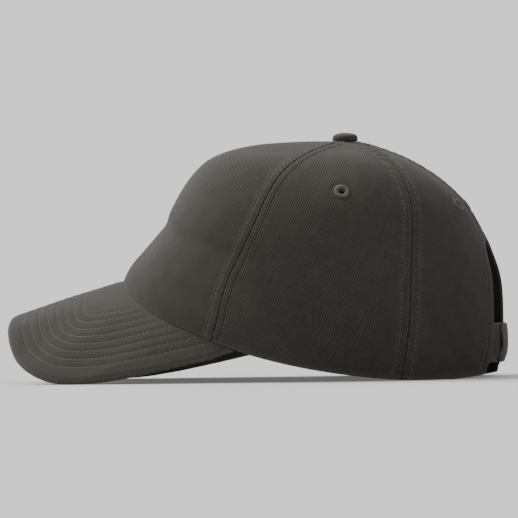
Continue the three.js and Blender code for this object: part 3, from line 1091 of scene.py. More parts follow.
@dataclass(frozen=True)
class Rubbing:
    """Where washing wears the cloth pale, and where pressing beside a seam sharpens its ribs."""

    crest: Band = Band(0.75, 0.85 * MM, 0.5 * MM)
    seam_crest_share: float = 1 / 3
    in_seam: tuple[float, float] = (1.6 * MM, 2.4 * MM)
    lip: Band = Band(0.25, 6.0 * MM, 0.8 * MM)
    rim: Band = Band(0.35, 0.3 * MM, 0.8 * MM)
    behind_visor: Band = Band(1.0, 0.0, 2 * MM)
    pressed_ends: tuple[float, float] = (4.4 * MM, 5.2 * MM)


@dataclass
class Patch:
    """A crown panel as a grid: places, points, normals and distances to its edges."""

    name: str
    edges: tuple[Edge, Edge]
    angles: Array
    rows: Array
    base: Array
    normals: Array
    uv: Array
    kept: Array
    to_left: Array
    to_right: Array
    to_rim: Array
    to_arch: Array
    to_eyelet: Array
    outer: Array = field(default_factory=lambda: np.empty(0))

    def to_seams(self) -> Array:
        """Distance to the nearer seam."""
        return np.minimum(self.to_left, self.to_right)

    def to_edges(self) -> Array:
        """Distance to the nearest edge of any kind."""
        return np.minimum(np.minimum(self.to_seams(), self.to_rim), self.to_arch)

    def face(self) -> Array:
        """Points of the dressed face with their normals, for what is sewn on it."""
        return np.concatenate([self.outer, self.normals], axis=-1)


@dataclass(frozen=True)
class EyeletPlace:
    """Where a pair of eyelets sits on the crown."""

    place: str
    angle: float
    row: float


@dataclass
class Crown:
    """The crown's five panels of twill with their seams, hems and stitched rows."""

    form: CrownForm
    arch: ArchForm
    needle: Needle
    rim_thread: bpy.types.Material
    hem: Hem = Hem()
    rubbing: Rubbing = Rubbing()
    eyelet_hole: float = 3.0 * MM
    visor_end_angle: float = 71.5
    visor_end_margin: float = 1.0
    rim_row_margin: float = 2.2
    seam_row_margin: float = 1.2 * MM
    least_points: int = 4
    button_reach: float = 7.4 * MM
    tack_length: float = 7 * MM
    panel_length: float = 169 * MM
    crease_height: float = 127.7 * MM
    crease_depth: float = 0.95 * MM
    crease_reach: float = 6.0 * MM
    crease_round: float = 0.9 * MM
    crease_ends: tuple[float, float] = (22.0, 52.0)
    eyelets: tuple[EyeletPlace, ...] = (
        EyeletPlace("side", 105.0, 0.584),
        EyeletPlace("back", 165.2, 0.534),
    )
    drape: Drape = Drape(0.42 * MM, 46 * MM, 11)
    front_drape: Drape = Drape(0.3 * MM, 38 * MM, 5)
    # The grid: its steps, the row above which its rows are counted, and places near an edge
    row_step: float = 1.5 * MM
    column_step: float = 1.55 * MM
    upper_start: float = 0.76
    upper_rows: int = 50
    near_share: float = 0.42
    near_rim: Array = field(default_factory=lambda: MM * np.array([
        0, 0.12, 0.28, 0.5, 0.8, 1.2, 1.8, 2.4, 2.8, 3.2, 3.7, 4.4, 5.4,
    ]))
    near_seam: Array = field(default_factory=lambda: MM * np.array([
        0, 0.12, 0.3, 0.55, 0.85, 1.2, 1.7, 2.4, 3.2, 3.8, 4.2, 4.6, 5.0, 5.4, 5.9, 6.6, 7.6,
    ]))
    patches: dict[str, Patch] = field(default_factory=dict)

    def _rows(self, with_arch: bool) -> Array:
        """The rows of a panel's grid, close together at the rim, the top and the arch's top."""
        near = self.near_rim / self.panel_length
        step = self.row_step / self.panel_length
        lower = np.arange(near[-1] + step, self.upper_start, step)
        upper = np.linspace(self.upper_start, self.form.top_row, self.upper_rows)
        rows = np.concatenate([near, lower, upper])
        if with_arch:
            turns = np.radians(np.arange(0, 80, 4.0))
            heights = self.arch.spring + (self.arch.height - self.arch.spring) * np.cos(turns)
            rows = np.union1d(rows, self.form.row_at(np.full(heights.shape, 180.0), heights))
        return rows

    def _arch_edge(self, rows: Array) -> Array:
        """Angle of the arch's edge, or of the middle of the back above the arch, at each row."""
        start = self.form.seam(Seam.BACK, rows)

        def inside(angle: Array) -> Array:
            """How far inside the arch a place is."""
            point = self.form.point(angle, rows)
            return self.arch.width_at(point[..., 2]) - np.abs(point[..., 1])

        return solve(inside, np.zeros(rows.shape), start, np.full(rows.shape, 180.0))

    def _columns(self, width: float, middle: int) -> Array:
        """Distances of a row's columns from its left edge, close together near both edges."""
        near = self.near_seam * min(1.0, self.near_share * width / self.near_seam[-1])
        inner = np.linspace(near[-1], width - near[-1], middle + 2)[1:-1]
        return closer_at_ends(near, inner, width)

    def _grid(self, spans: list[Array], cuts: list[Array], rows: Array) -> tuple[Array, Array]:
        """Angles and cloth map of a panel's grid.

        Args:
            spans: Angles at each row between which the panel's cloth is laid out.
            cuts: Angles at each row of its left and its right edge.
            rows: The rows.

        Returns:
            Angles, and distances along and up from the middle of the cloth.
        """
        shares = np.linspace(0, 1, 240)
        angles = lerp(spans[0][:, None], spans[1][:, None], shares)
        points = self.form.point(angles, rows[:, None])
        steps = np.linalg.norm(np.diff(points, axis=1), axis=2)
        walked = np.concatenate([np.zeros((len(rows), 1)), np.cumsum(steps, axis=1)], axis=1)
        near, far = (
            np.array([np.interp(place, *line) for place, *line in zip(cut, angles, walked)]) for cut in cuts
        )
        middle = int((far - near).max() / self.column_step)
        placed, u = [], []
        for row in range(len(rows)):
            columns = near[row] + self._columns(far[row] - near[row], middle)
            placed.append(np.interp(columns, walked[row], angles[row]))
            u.append(columns - walked[row, -1] / 2)
        up = lengths(points[:, len(shares) // 2])
        u = np.array(u)
        uv = np.stack([u, np.broadcast_to(up[:, None], u.shape)], axis=-1)
        return np.array(placed), uv

    def _edge_angle(self, edge: Edge, hand: Hand, rows: Array, cut: bool = False) -> Array:
        """Angle of a panel's edge at each row; the middle of the back may be cut by the arch."""
        if edge is not None:
            return edge[1].value * self.form.seam(edge[0], rows)
        return hand.value * (self._arch_edge(rows) if cut else np.full(rows.shape, 180.0))

    def _patch(self, name: str, hand: Hand, left: Edge, right: Edge, eyelet: EyeletPlace | None) -> Patch:
        """Lays out one panel.

        Args:
            name: The solid's name.
            hand: The side that it is on.
            left: Its left edge.
            right: Its right edge.
            eyelet: The eyelet in it, if it has one.

        Returns:
            The panel's grid.
        """
        form = self.form
        at_back = left is None or right is None
        rows = self._rows(at_back)
        spans = [self._edge_angle(edge, hand, rows) for edge in (left, right)]
        cuts = [self._edge_angle(edge, hand, rows, True) for edge in (left, right)]
        angles, uv = self._grid(spans, cuts, rows)
        row_grid = np.broadcast_to(rows[:, None], angles.shape)
        base = form.point(angles, row_grid)
        normals = form.normal(angles, row_grid)
        arch_top = float(form.row_at(np.array([180.0]), np.array([self.arch.height]))[0])
        seam_rows = np.linspace(0, form.top_row, SAMPLES)
        back_rows = np.linspace(arch_top, form.top_row, 300)

        def seam_distance(edge: Edge) -> Array:
            """Distance of every grid point to an edge's seam."""
            line_rows = back_rows if edge is None else seam_rows
            return distance_to(form.point(self._edge_angle(edge, hand, line_rows), line_rows), base)

        past_ends = 8.0
        rim_angles = np.linspace(angles[0, 0] - past_ends, angles[0, -1] + past_ends, SAMPLES)
        kept = np.ones((angles.shape[0] - 1, angles.shape[1] - 1), dtype=bool)
        to_arch = to_eyelet = np.full(angles.shape, FAR)
        if at_back:
            outline = self.arch.outline()
            edge_angles, edge_rows = form.behind(-hand.value * outline[:, 0], np.maximum(outline[:, 1], 0))
            to_arch = distance_to(form.point(edge_angles, edge_rows), base)
        if eyelet is not None:
            base, kept, to_eyelet = self._pierced(base, eyelet, hand)
        return Patch(
            name=name, edges=(left, right), angles=angles, rows=row_grid, base=base, normals=normals,
            uv=uv, kept=kept, to_left=seam_distance(left), to_right=seam_distance(right),
            to_rim=distance_to(form.point(rim_angles, 0.0), base), to_arch=to_arch, to_eyelet=to_eyelet,
        )

    def _pierced(self, base: Array, eyelet: EyeletPlace, hand: Hand) -> tuple[Array, Array, Array]:
        """Opens a round hole in a panel's grid at an eyelet.

        Args:
            base: The grid's points.
            eyelet: The eyelet's place.
            hand: The side that it is on.

        Returns:
            The points with the hole's border on a circle, the cells kept, and the distances
            of the points from the eyelet's centre.
        """
        centre = self.form.point(hand.value * eyelet.angle, eyelet.row)
        away = np.linalg.norm(base - centre, axis=-1)
        cells = (away[:-1, :-1] + away[:-1, 1:] + away[1:, :-1] + away[1:, 1:]) / 4
        kept = cells > self.eyelet_hole
        framed = np.pad(kept, 1, constant_values=True)
        touching = [framed[:-1, :-1], framed[:-1, 1:], framed[1:, :-1], framed[1:, 1:]]
        border = np.any(touching, axis=0) & ~np.all(touching, axis=0)
        snapped = centre + (base - centre) * (self.eyelet_hole / np.maximum(away, 1e-6))[..., None]
        base = np.where(border[..., None], snapped, base)
        return base, kept, np.linalg.norm(base - centre, axis=-1)

    def _relief(self, patch: Patch, drape: Drape) -> Array:
        """How far the dressed face of a panel stands out from its plain surface."""
        hem, seams, edges = self.hem, patch.to_seams(), patch.to_edges()
        beside_visor = np.abs(patch.angles) >= self.visor_end_angle + self.visor_end_margin
        turnings = (
            (patch.to_left, hem.seam, 1),
            (patch.to_right, hem.seam, 1),
            (patch.to_rim, hem.rim, beside_visor),
            (patch.to_arch, hem.arch, 1),
        )
        bulk = sewn = np.zeros(edges.shape)
        for distance, turning, shown in turnings:
            bulk = np.maximum(bulk, shown * turning.raised(distance))
            sewn = np.maximum(sewn, shown * furrow(distance, turning.row, hem.furrow_half_width))
        wave = 2 * math.pi / hem.pucker_length
        up, across = patch.uv[..., 1], patch.uv[..., 0]
        sway = hem.pucker_sway * np.sin(up * wave / hem.pucker_sway_pitches)
        swing = np.sin(up * wave + sway + across * wave * hem.pucker_lean)
        pucker = hem.pucker_depth * swing * (1 - smoothstep(seams, hem.seam.row, hem.pucker_end))
        free = smoothstep(edges, hem.seam.row, hem.free_end)
        relief = bulk - hem.furrow_depth * sewn + pucker + free * drape.at(patch.base)
        relief = relief - hem.eyelet_pull.at(patch.to_eyelet)
        if patch.name == FRONT_PANEL:
            relief = relief + free * self._crease(patch)
        return relief - rolled(edges, hem.roll)

    def _crease(self, patch: Patch) -> Array:
        """How far the soft crease over the brow stands out."""
        away = np.hypot(patch.base[..., 2] - self.crease_height, self.crease_round) / self.crease_reach
        return self.crease_depth * np.exp(-away) * (1 - smoothstep(np.abs(patch.angles), *self.crease_ends))

    def _numbers(self, patch: Patch) -> dict[str, tuple[Array, Array]]:
        """What the finish reads from a panel's faces.

        Args:
            patch: The panel's grid.

        Returns:
            Values on the outer and on the inner face, by attribute.
        """
        hem, rub, seams = self.hem, self.rubbing, patch.to_seams()
        in_seam = 1 - smoothstep(seams, *rub.in_seam)
        none = np.zeros(seams.shape)
        on_rim = rub.rim.at(patch.to_rim)
        if patch.name == FRONT_PANEL:
            in_seam = np.maximum(in_seam, rub.behind_visor.at(patch.to_rim))
            on_rim = none
        crest = rub.crest.at(patch.to_edges()) * lerp(1, rub.seam_crest_share, in_seam)
        turned = np.minimum(patch.to_rim - hem.turned_in, patch.to_arch - hem.arch_turned_in)
        return {
            WEAR_ATTRIBUTE: (crest + rub.lip.at(seams) + on_rim, none),
            # Past the turned in hem the inner faces take the reverse colour, which carries painted light
            REVERSE_AND_PAINTED_LIGHT_ATTRIBUTE: (none, smoothstep(turned, -hem.turned_in_blur, hem.turned_in_blur)),
            # Painted shade along the seams' gaps
            SEAM_SHADE_ATTRIBUTE: (hem.seam_shade.at(seams), none),
            PRESSED_ATTRIBUTE: (1 - smoothstep(seams, *rub.pressed_ends), none),
        }

    def _dress(self, patch: Patch, drape: Drape, material: bpy.types.Material) -> None:
        """Builds the panel's wall from its grid.

        Args:
            patch: The panel's grid.
            drape: The cloth's soft waves.
            material: The finish.
        """
        hem = self.hem
        outward = patch.normals.copy()
        outward[0] = self.form.normal(patch.angles[0], patch.rows[0], True)
        patch.outer = patch.base + outward * self._relief(patch, drape)[..., None]
        allowance = hem.allowance * (1 - smoothstep(patch.to_seams(), *hem.allowance_ends))
        tucked = hem.inner_roll * rolled(patch.to_edges(), hem.roll) / hem.roll
        inner = patch.base - outward * (self.form.wall + allowance - tucked)[..., None]
        name, numbers = f"{patch.name}_cloth", self._numbers(patch)
        piece = wall_object(name, patch.outer, inner, material, patch.uv, numbers, patch.kept)
        carried(piece, Slot.CROWN, patch.name)

    def build(self, front: TwillFinish, side: TwillFinish, back: TwillFinish) -> None:
        """Builds the five panels and sews their seams.

        Args:
            front: Finish of the front panel.
            side: Finish of the side panels.
            back: Finish of the back panels.
        """
        materials = {finish.name: finish.material() for finish in (front, side, back)}
        left, right = Hand.LEFT, Hand.RIGHT
        side_eyelet, back_eyelet = self.eyelets
        layout = [
            (FRONT_PANEL, left, (Seam.FRONT, right), (Seam.FRONT, left), None, front),
            ("side_panel_left", left, (Seam.FRONT, left), (Seam.BACK, left), side_eyelet, side),
            ("side_panel_right", right, (Seam.BACK, right), (Seam.FRONT, right), side_eyelet, side),
            ("back_panel_left", left, (Seam.BACK, left), None, back_eyelet, back),
            ("back_panel_right", right, None, (Seam.BACK, right), back_eyelet, back),
        ]
        for name, hand, left_edge, right_edge, eyelet, finish in layout:
            patch = self._patch(name, hand, left_edge, right_edge, eyelet)
            drape = self.front_drape if name == FRONT_PANEL else self.drape
            self._dress(patch, drape, materials[finish.name])
            self.patches[name] = patch
        self._sew()

    def _seam_rows(self) -> list[SewnPath]:
        """The stitched row on each side of every seam, from the rim to the button."""
        arch_top = self.arch.height + self.hem.arch.row
        paths = []
        for patch in self.patches.values():
            for turn, edge, distance in zip((1, -1), patch.edges, (patch.to_left, patch.to_right)):
                values, rows = distance[:, ::turn], patch.face()[:, ::turn]
                found = crossings(values[:, : values.shape[1] // 2 + 1], self.hem.seam.row, rows)
                radius = np.hypot(found[:, 0] - self.form.axis, found[:, 1])
                low = self.seam_row_margin + (arch_top if edge is None else 0)
                found = found[(radius > self.button_reach) & (found[:, 2] > low)]
                if len(found) >= self.least_points:
                    paths.append(SewnPath.of(found))
        return paths

    def _rim_rows(self) -> list[SewnPath]:
        """The stitched row along the rim, from the visor's end to the arch."""
        start = self.form.point(self.visor_end_angle + self.rim_row_margin, 0.0)
        start_turn = np.arctan2(abs(start[1]), self.form.axis - start[0])
        paths = []
        for name in ("side_panel_left", "back_panel_left", "side_panel_right", "back_panel_right"):
            patch = self.patches[name]
            found = crossings(patch.to_rim.T, self.hem.rim.row, patch.face().transpose(1, 0, 2))
            out = np.abs(found[:, 1])
            if name.startswith("side"):
                found = found[np.arctan2(out, self.form.axis - found[:, 0]) > start_turn]
            else:
                found = found[out > self.arch.width_at(found[:, 2]) + 0.5 * self.hem.arch.row]
            paths.append(SewnPath.of(found))
        return paths

    def _arch_rows(self) -> list[SewnPath]:
        """The stitched row round the arch, on both back panels as one row."""
        outline = self.arch.around(self.hem.arch.row)
        outline = outline[outline[:, 1] > self.hem.rim.row]
        y, z = np.concatenate([outline * (-1, 1), outline[::-1]]).T
        angle, row = self.form.behind(y, z)
        normals = self.form.normal(angle, row)
        lift = self.hem.arch.bulk - self.hem.furrow_depth + 0.1 * MM
        return [SewnPath(self.form.point(angle, row) + normals * lift, normals)]

    def _bartacks(self, rim: list[SewnPath]) -> list[SewnPath]:
        """Close stitching where the rim's row starts at each end of the visor."""
        tacks = []
        for path in (rim[0], rim[2]):
            rows = np.hstack([path.points, path.normals])
            backwards = rows[0, 0] > rows[-1, 0]
            rows = finely(rows[::-1] if backwards else rows, 0.5 * MM)
            tacks.append(SewnPath.of(rows[lengths(rows) <= self.tack_length]))
        return tacks

    def _sew(self) -> None:
        """Sews the seams, the rim, the arch and the bartacks."""
        rim = self._rim_rows()
        rim_kind = StitchKind(pitch=3.1 * MM, length=2.5 * MM, seed=4)
        tack = StitchKind(0.5 * MM, 1.9 * MM, 0.5 * MM, 0.6 * MM, across=True, seed=6)
        self.needle.sew("seam_stitches", self._seam_rows(), StitchKind(seed=3))
        self.needle.sew("rim_stitches", rim, rim_kind, self.rim_thread)
        self.needle.sew("arch_stitches", self._arch_rows(), StitchKind(seed=5))
        self.needle.sew("rim_bartacks", self._bartacks(rim), tack, self.rim_thread)


@dataclass
class Visor:
    """The curved visor: a board covered in twill, with rows of stitches along its edge."""

    form: CrownForm
    needle: Needle
    thread: bpy.types.Material
    tip: float = 191.2 * MM
    squareness: float = 3.0
    end_angle: float = 71.5
    end_margin: float = 0.8 * MM
    thickness: float = 3.0 * MM
    end_thickness: float = 1.6 * MM
    tip_height: float = 37.1 * MM
    seat_gap: float = 0.02 * MM
    camber: float = 0.8 * MM
    side_slope: float = 1.1
    thinning_angle: float = 45.0
    joining_angle: float = 80.0
    rows: int = 8
    first_row: float = 9.2 * MM
    row_step: float = 5.25 * MM
    furrow_depth: float = 0.17 * MM
    furrow_half_width: float = 0.7 * MM
    puff: float = 0.06 * MM
    quilt_start: float = 2 * MM
    quilt_fade: float = 6 * MM
    drape: Drape = Drape(0.18 * MM, 30 * MM, 21)
    drape_start: tuple[float, float] = (1 * MM, 9 * MM)
    seat_settling: tuple[float, float] = (0.4 * MM, 4 * MM)
    lower_relief_share: float = 0.6
    upper_roll: float = 3.8 * MM
    upper_roll_share: float = 0.74
    lower_roll: float = 0.8 * MM
    lower_roll_share: float = 0.16
    floor_gap: float = 0.05 * MM
    wear: Band = Band(0.8, 0.5 * MM, 1.0 * MM)
    # Painted light: how far the underside, which lies in shade, is lightened towards the reverse colour
    underside_painted_light: float = 0.4
    columns: int = 300
    wide_rows: int = 104
    near_edge: Array = field(default_factory=lambda: MM * np.array([
        0, 0.08, 0.22, 0.42, 0.7, 1.05, 1.5, 2.1,
    ]))
    near_share: float = 0.45
    # Shares of the tip's height that the edge has every 10 degrees of its plan, from tip to end
    edge_shares: Array = field(default_factory=lambda: np.array([
        1.000, 0.825, 0.357, 0.085, 0.064, 0.132, 0.218, 0.298, 0.372, 0.430,
    ])[:, None])

    def _end(self) -> Array:
        """Where the visor's end meets the rim on the wearer's left."""
        return self.form.point(self.end_angle, 0.0)

    def _half_width(self) -> float:
        """Half the visor's width."""
        return -self._end()[1] + self.end_margin

    def _edge(self, turn: Array) -> Array:
        """Points of the upper edge at turns from -90 to 90 degrees of its plan."""
        end = self._end() - (self.form.axis, 0, 0)
        reach, half_width, power = self.tip + end[0], self._half_width(), self.squareness
        cos, sin = np.cos(np.radians(turn)), np.sin(np.radians(turn))
        radius = ((np.abs(cos) / reach) ** power + (np.abs(sin) / half_width) ** power) ** (-1 / power)
        share = along(self.edge_shares, np.abs(turn) / 90, True)[..., 0]
        ending = smoothstep(np.abs(turn), self.joining_angle, 90)
        height = lerp(self.tip_height * share, end[2] - self.seat_gap, ending)
        return np.stack([self.form.axis + end[0] - radius * cos, -radius * sin, height], axis=-1)

    def _turns(self) -> Array:
        """Turns that divide the edge evenly, from the wearer's left to the right."""
        dense = np.linspace(90, -90, 4001)
        walked = lengths(self._edge(dense))
        return np.interp(np.linspace(0, walked[-1], self.columns), walked, dense)

    def _upper(self, turns: Array) -> Array:
        """Points of the plain upper face: its first row is tucked under the crown's wall."""
        edge = self._edge(turns)
        angles = np.linspace(0, self.end_angle, 2000)
        reached = -self.form.point(angles, 0.0)[:, 1]
        aim = -self._end()[1] * np.abs(edge[:, 1]) / self._half_width()
        seat_angle = np.sign(turns) * np.interp(aim, reached, angles)
        seat = self.form.point(seat_angle, 0.0) - (0, 0, self.seat_gap)
        back = seat - self.form.normal(seat_angle, np.zeros(seat_angle.shape), True) * self.form.wall
        shares = self._shares(np.linalg.norm(edge - seat, axis=1))
        upper = lerp(seat[None], edge[None], shares[..., None])
        upper[..., 2] += self.camber * 4 * shares * (1 - shares) * np.cos(np.radians(turns))
        return np.concatenate([back[None], upper])

    def _board(self, turns: Array) -> tuple[Array, Array]:
        """The way down through the board and the board's thickness.

        Args:
            turns: The columns.

        Returns:
            Directions and thicknesses, one a column.
        """
        fore_slope = (self.form.rim_front - self.tip_height) / (self.tip - self.form.front)
        side_slope = -self.side_slope * self._edge(turns)[:, 1] / self._half_width()
        down = np.stack([fore_slope + 0 * turns, side_slope, 0 * turns - 1], axis=-1)
        thin = smoothstep(np.abs(turns), self.thinning_angle, 90)
        return unit(down)[None], lerp(self.thickness, self.end_thickness, thin)[None]

    def _cloth_map(self, upper: Array) -> Array:
        """The cloth map of a face: distances across the bent board and out towards the tip."""
        steepest = 0.3
        facing = unit(np.cross(np.gradient(upper, axis=0), np.gradient(upper, axis=1)))
        stretch = np.hypot(facing[..., 1], facing[..., 2]) / np.maximum(np.abs(facing[..., 2]), steepest)
        steps = np.diff(upper[..., 1], axis=1) * (stretch[:, 1:] + stretch[:, :-1]) / 2
        across = np.concatenate([np.zeros((len(upper), 1)), np.cumsum(steps, axis=1)], axis=1)
        middle = self.columns // 2
        across = across - across[:, middle - 1:middle + 1].mean(axis=1, keepdims=True)
        return np.stack([across, -upper[..., 0]], axis=-1)

    def _shares(self, reaches: Array) -> Array:
        """Shares of the way from the seat to the edge, close together at the edge."""
        near = self.near_edge[:, None] * np.minimum(1, self.near_share * reaches / self.near_edge[-1])
        wide = np.linspace(0, 1, self.wide_rows)[:, None] * (reaches - near[-1])
        return np.concatenate([wide, (reaches - near[-2::-1])]) / reaches

    def _row_distances(self) -> Array:
        """Distances of the stitched rows from the edge."""
        return self.first_row + self.row_step * np.arange(self.rows)

    def _relief(self, upper: Array, to_edge: Array) -> Array:
        """How far the upper face stands out: furrows under its rows, puffs between them, drape.

        Args:
            upper: The plain face.
            to_edge: Distance of each of its points to the edge.

        Returns:
            The relief, which settles at the seat.
        """
        rows = self._row_distances()
        sewn = sum(furrow(to_edge, row, self.furrow_half_width) for row in rows)
        between = np.cos((to_edge - self.first_row) / self.row_step * 2 * math.pi)
        quilted = smoothstep(to_edge, self.quilt_start, self.first_row)
        quilted = quilted * (1 - smoothstep(to_edge, rows[-1], rows[-1] + self.quilt_fade))
        relief = -self.furrow_depth * sewn - self.puff * between * quilted
        relief = relief + self.drape.at(upper) * smoothstep(to_edge, *self.drape_start)
        relief = relief * smoothstep(np.linalg.norm(upper - upper[1], axis=-1), *self.seat_settling)
        relief[0] = 0
        return relief

    def build(self, finish: TwillFinish) -> None:
        """Builds the visor and sews its rows on both faces.

        Args:
            finish: The cloth's finish.
        """
        turns = self._turns()
        upper, (down, thickness) = self._upper(turns), self._board(turns)
        to_edge = distance_to(self._edge(np.linspace(90, -90, 3000)), upper)
        relief = self._relief(upper, to_edge)
        drop = rolled(to_edge, self.upper_roll, self.upper_roll_share * thickness)
        rise = rolled(to_edge, self.lower_roll, self.lower_roll_share * thickness)
        outer = upper + down * (drop - relief)[..., None]
        lower = upper + down * (thickness - rise + self.lower_relief_share * relief)[..., None]
        lower[..., 2] = np.maximum(lower[..., 2], 0)
        outer[..., 2] = np.maximum(outer[..., 2], self.floor_gap)
        wear = self.wear.at(to_edge)
        none = np.zeros(wear.shape)
        # The underside is lightened as painted light on a face in shade
        numbers = {WEAR_ATTRIBUTE: (wear, wear), REVERSE_AND_PAINTED_LIGHT_ATTRIBUTE: (none, none + self.underside_painted_light)}
        uv = self._cloth_map(upper)
        piece = wall_object("visor_cloth", outer, lower, finish.material(), uv, numbers)
        carried(piece, Slot.VISOR, "visor")
        down = np.broadcast_to(down, outer.shape)
        self._sew("visor_stitches", to_edge, outer, -down, 7)
        self._sew("visor_under_stitches", to_edge, lower, down, 8)

    def _sew(self, name: str, to_edge: Array, face: Array, normals: Array, seed: int) -> None:
        """Sews the rows on one face.

        Args:
            name: The piece's name.
            to_edge: Distance of the face's points to the edge.
            face: The face's points.
            normals: The way out of the face.
            seed: Seed of the stitches' unevenness.
        """
        rows = np.concatenate([face, normals], axis=-1)[-1:0:-1].transpose(1, 0, 2)
        values = to_edge[-1:0:-1].T
        found = [crossings(values, distance, rows) for distance in self._row_distances()]
        paths = [SewnPath.of(points) for points in found if len(points) > 5]
        kind = StitchKind(length=2.7 * MM, width=0.44 * MM, height=0.54 * MM, uneven=0.04, seed=seed)
        self.needle.sew(name, paths, kind, self.thread)


@dataclass
class TopButton:
    """The button at the crown's top: a metal shell covered in twill, its shank and back plate."""

    radius: float = 7.0 * MM
    height: float = 4.1 * MM
    foot: float = 133.2 * MM
    shank_radius: float = 1.7 * MM
    plate_radius: float = 5.2 * MM
    plate_thickness: float = 1.0 * MM
    sides: int = 120
    gathers: int = 17
    gather_depth: float = 0.14 * MM
    skirt: float = 0.65 * MM
    unevenness: float = 0.09 * MM
    wear: float = 0.45
    wear_height: float = 0.62
    wear_half_width: float = 0.8 * MM
    # Each row: share of the radius, share of the cover's height, from its foot to its top
    sections: Array = field(default_factory=lambda: np.array([
        (0.965, 0.00), (0.99, 0.12), (1.00, 0.32), (0.98, 0.53), (0.90, 0.70),
        (0.75, 0.82), (0.54, 0.91), (0.28, 0.975), (0.00, 1.00),
    ]))

    def _profile(self, plate_foot: float) -> Array:
        """Radii and heights from the plate's middle up to the button's top."""
        plate_top = plate_foot + self.plate_thickness
        inside = [
            (0, plate_foot),
            (0.5 * self.plate_radius, plate_foot),
            (self.plate_radius, plate_foot),
            (self.plate_radius, plate_top),
            (self.shank_radius, plate_top),
            (self.shank_radius, self.foot),
            (0.66 * self.radius, self.foot),
            (0.82 * self.radius, self.foot - 0.8 * self.skirt),
        ]
        dome = along(self.sections, np.linspace(0, 1, 60))
        cover = dome * (self.radius, self.height + self.skirt) + (0, self.foot - self.skirt)
        return np.vstack([inside, cover])

    def _gathered(self, radius: Array, height: Array, angle: Array) -> tuple[Array, Array]:
        """The rings with the cover's gathers and its slightly uneven top.

        Args:
            radius: Each ring's radius.
            height: Each ring's height.
            angle: The angles of their points.

        Returns:
            Radius and height of each point.
        """
        low = furrow(height, self.foot + 0.1 * self.height, 0.32 * self.height)
        outside = (radius > 0.8 * self.radius) & (height >= self.foot)
        swing = np.cos(self.gathers * angle + 1.3 * np.sin(3 * angle) + 0.4)
        radius = radius + outside * self.gather_depth * low * swing
        top = height > self.foot + 0.5 * self.height
        uneven = self.unevenness * np.sin(2 * angle + 0.7) * top
        return radius, height + uneven * np.sqrt(radius / self.radius)

    def build(self, axis: float, plate_foot: float, finish: TwillFinish) -> None:
        """Builds the button round its axis.

        Args:
            axis: The button's axis along X.
            plate_foot: Height of the plate's lower face.
            finish: The cloth's finish.
        """
        profile = self._profile(plate_foot)
        angle = np.arange(self.sides) / self.sides * 2 * math.pi
        cos, sin = np.cos(angle), np.sin(angle)
        radius, height = self._gathered(profile[1:-1, :1], profile[1:-1, 1:], angle)
        rings = np.stack([axis + radius * cos, radius * sin, height], axis=-1).reshape(-1, 3)
        points = np.vstack([rings, (axis, 0, profile[0, 1]), (axis, 0, profile[-1, 1])])
        bottom, top = len(points) - 2, len(points) - 1
        step = np.arange(self.sides)
        after = (step + 1) % self.sides
        foot = np.arange(len(height) - 1)[:, None] * self.sides
        head = foot + self.sides
        quads = np.stack([foot + step, foot + after, head + after, head + step], axis=-1)
        caps = [[bottom, b, a] for a, b in zip(step.tolist(), after.tolist())]
        caps += [[top, a, b] for a, b in zip((head[-1] + step).tolist(), (head[-1] + after).tolist())]
        walked = lengths(profile)
        out = (walked[-1] - walked[1:-1])[:, None]
        uv = np.vstack([np.stack([out * cos, out * sin], axis=-1).reshape(-1, 2), (0.05, 0.05), (0, 0)])
        worn = self.wear * furrow(height, self.foot + self.wear_height * self.height, self.wear_half_width)
        numbers = {WEAR_ATTRIBUTE: np.append(worn.ravel(), [0, 0])}
        faces = quads.reshape(-1, 4).tolist() + caps
        piece = mesh_object("top_button_cloth", points, faces, finish.material(), uv, numbers)
        carried(piece, Slot.BUTTON, "top_button")


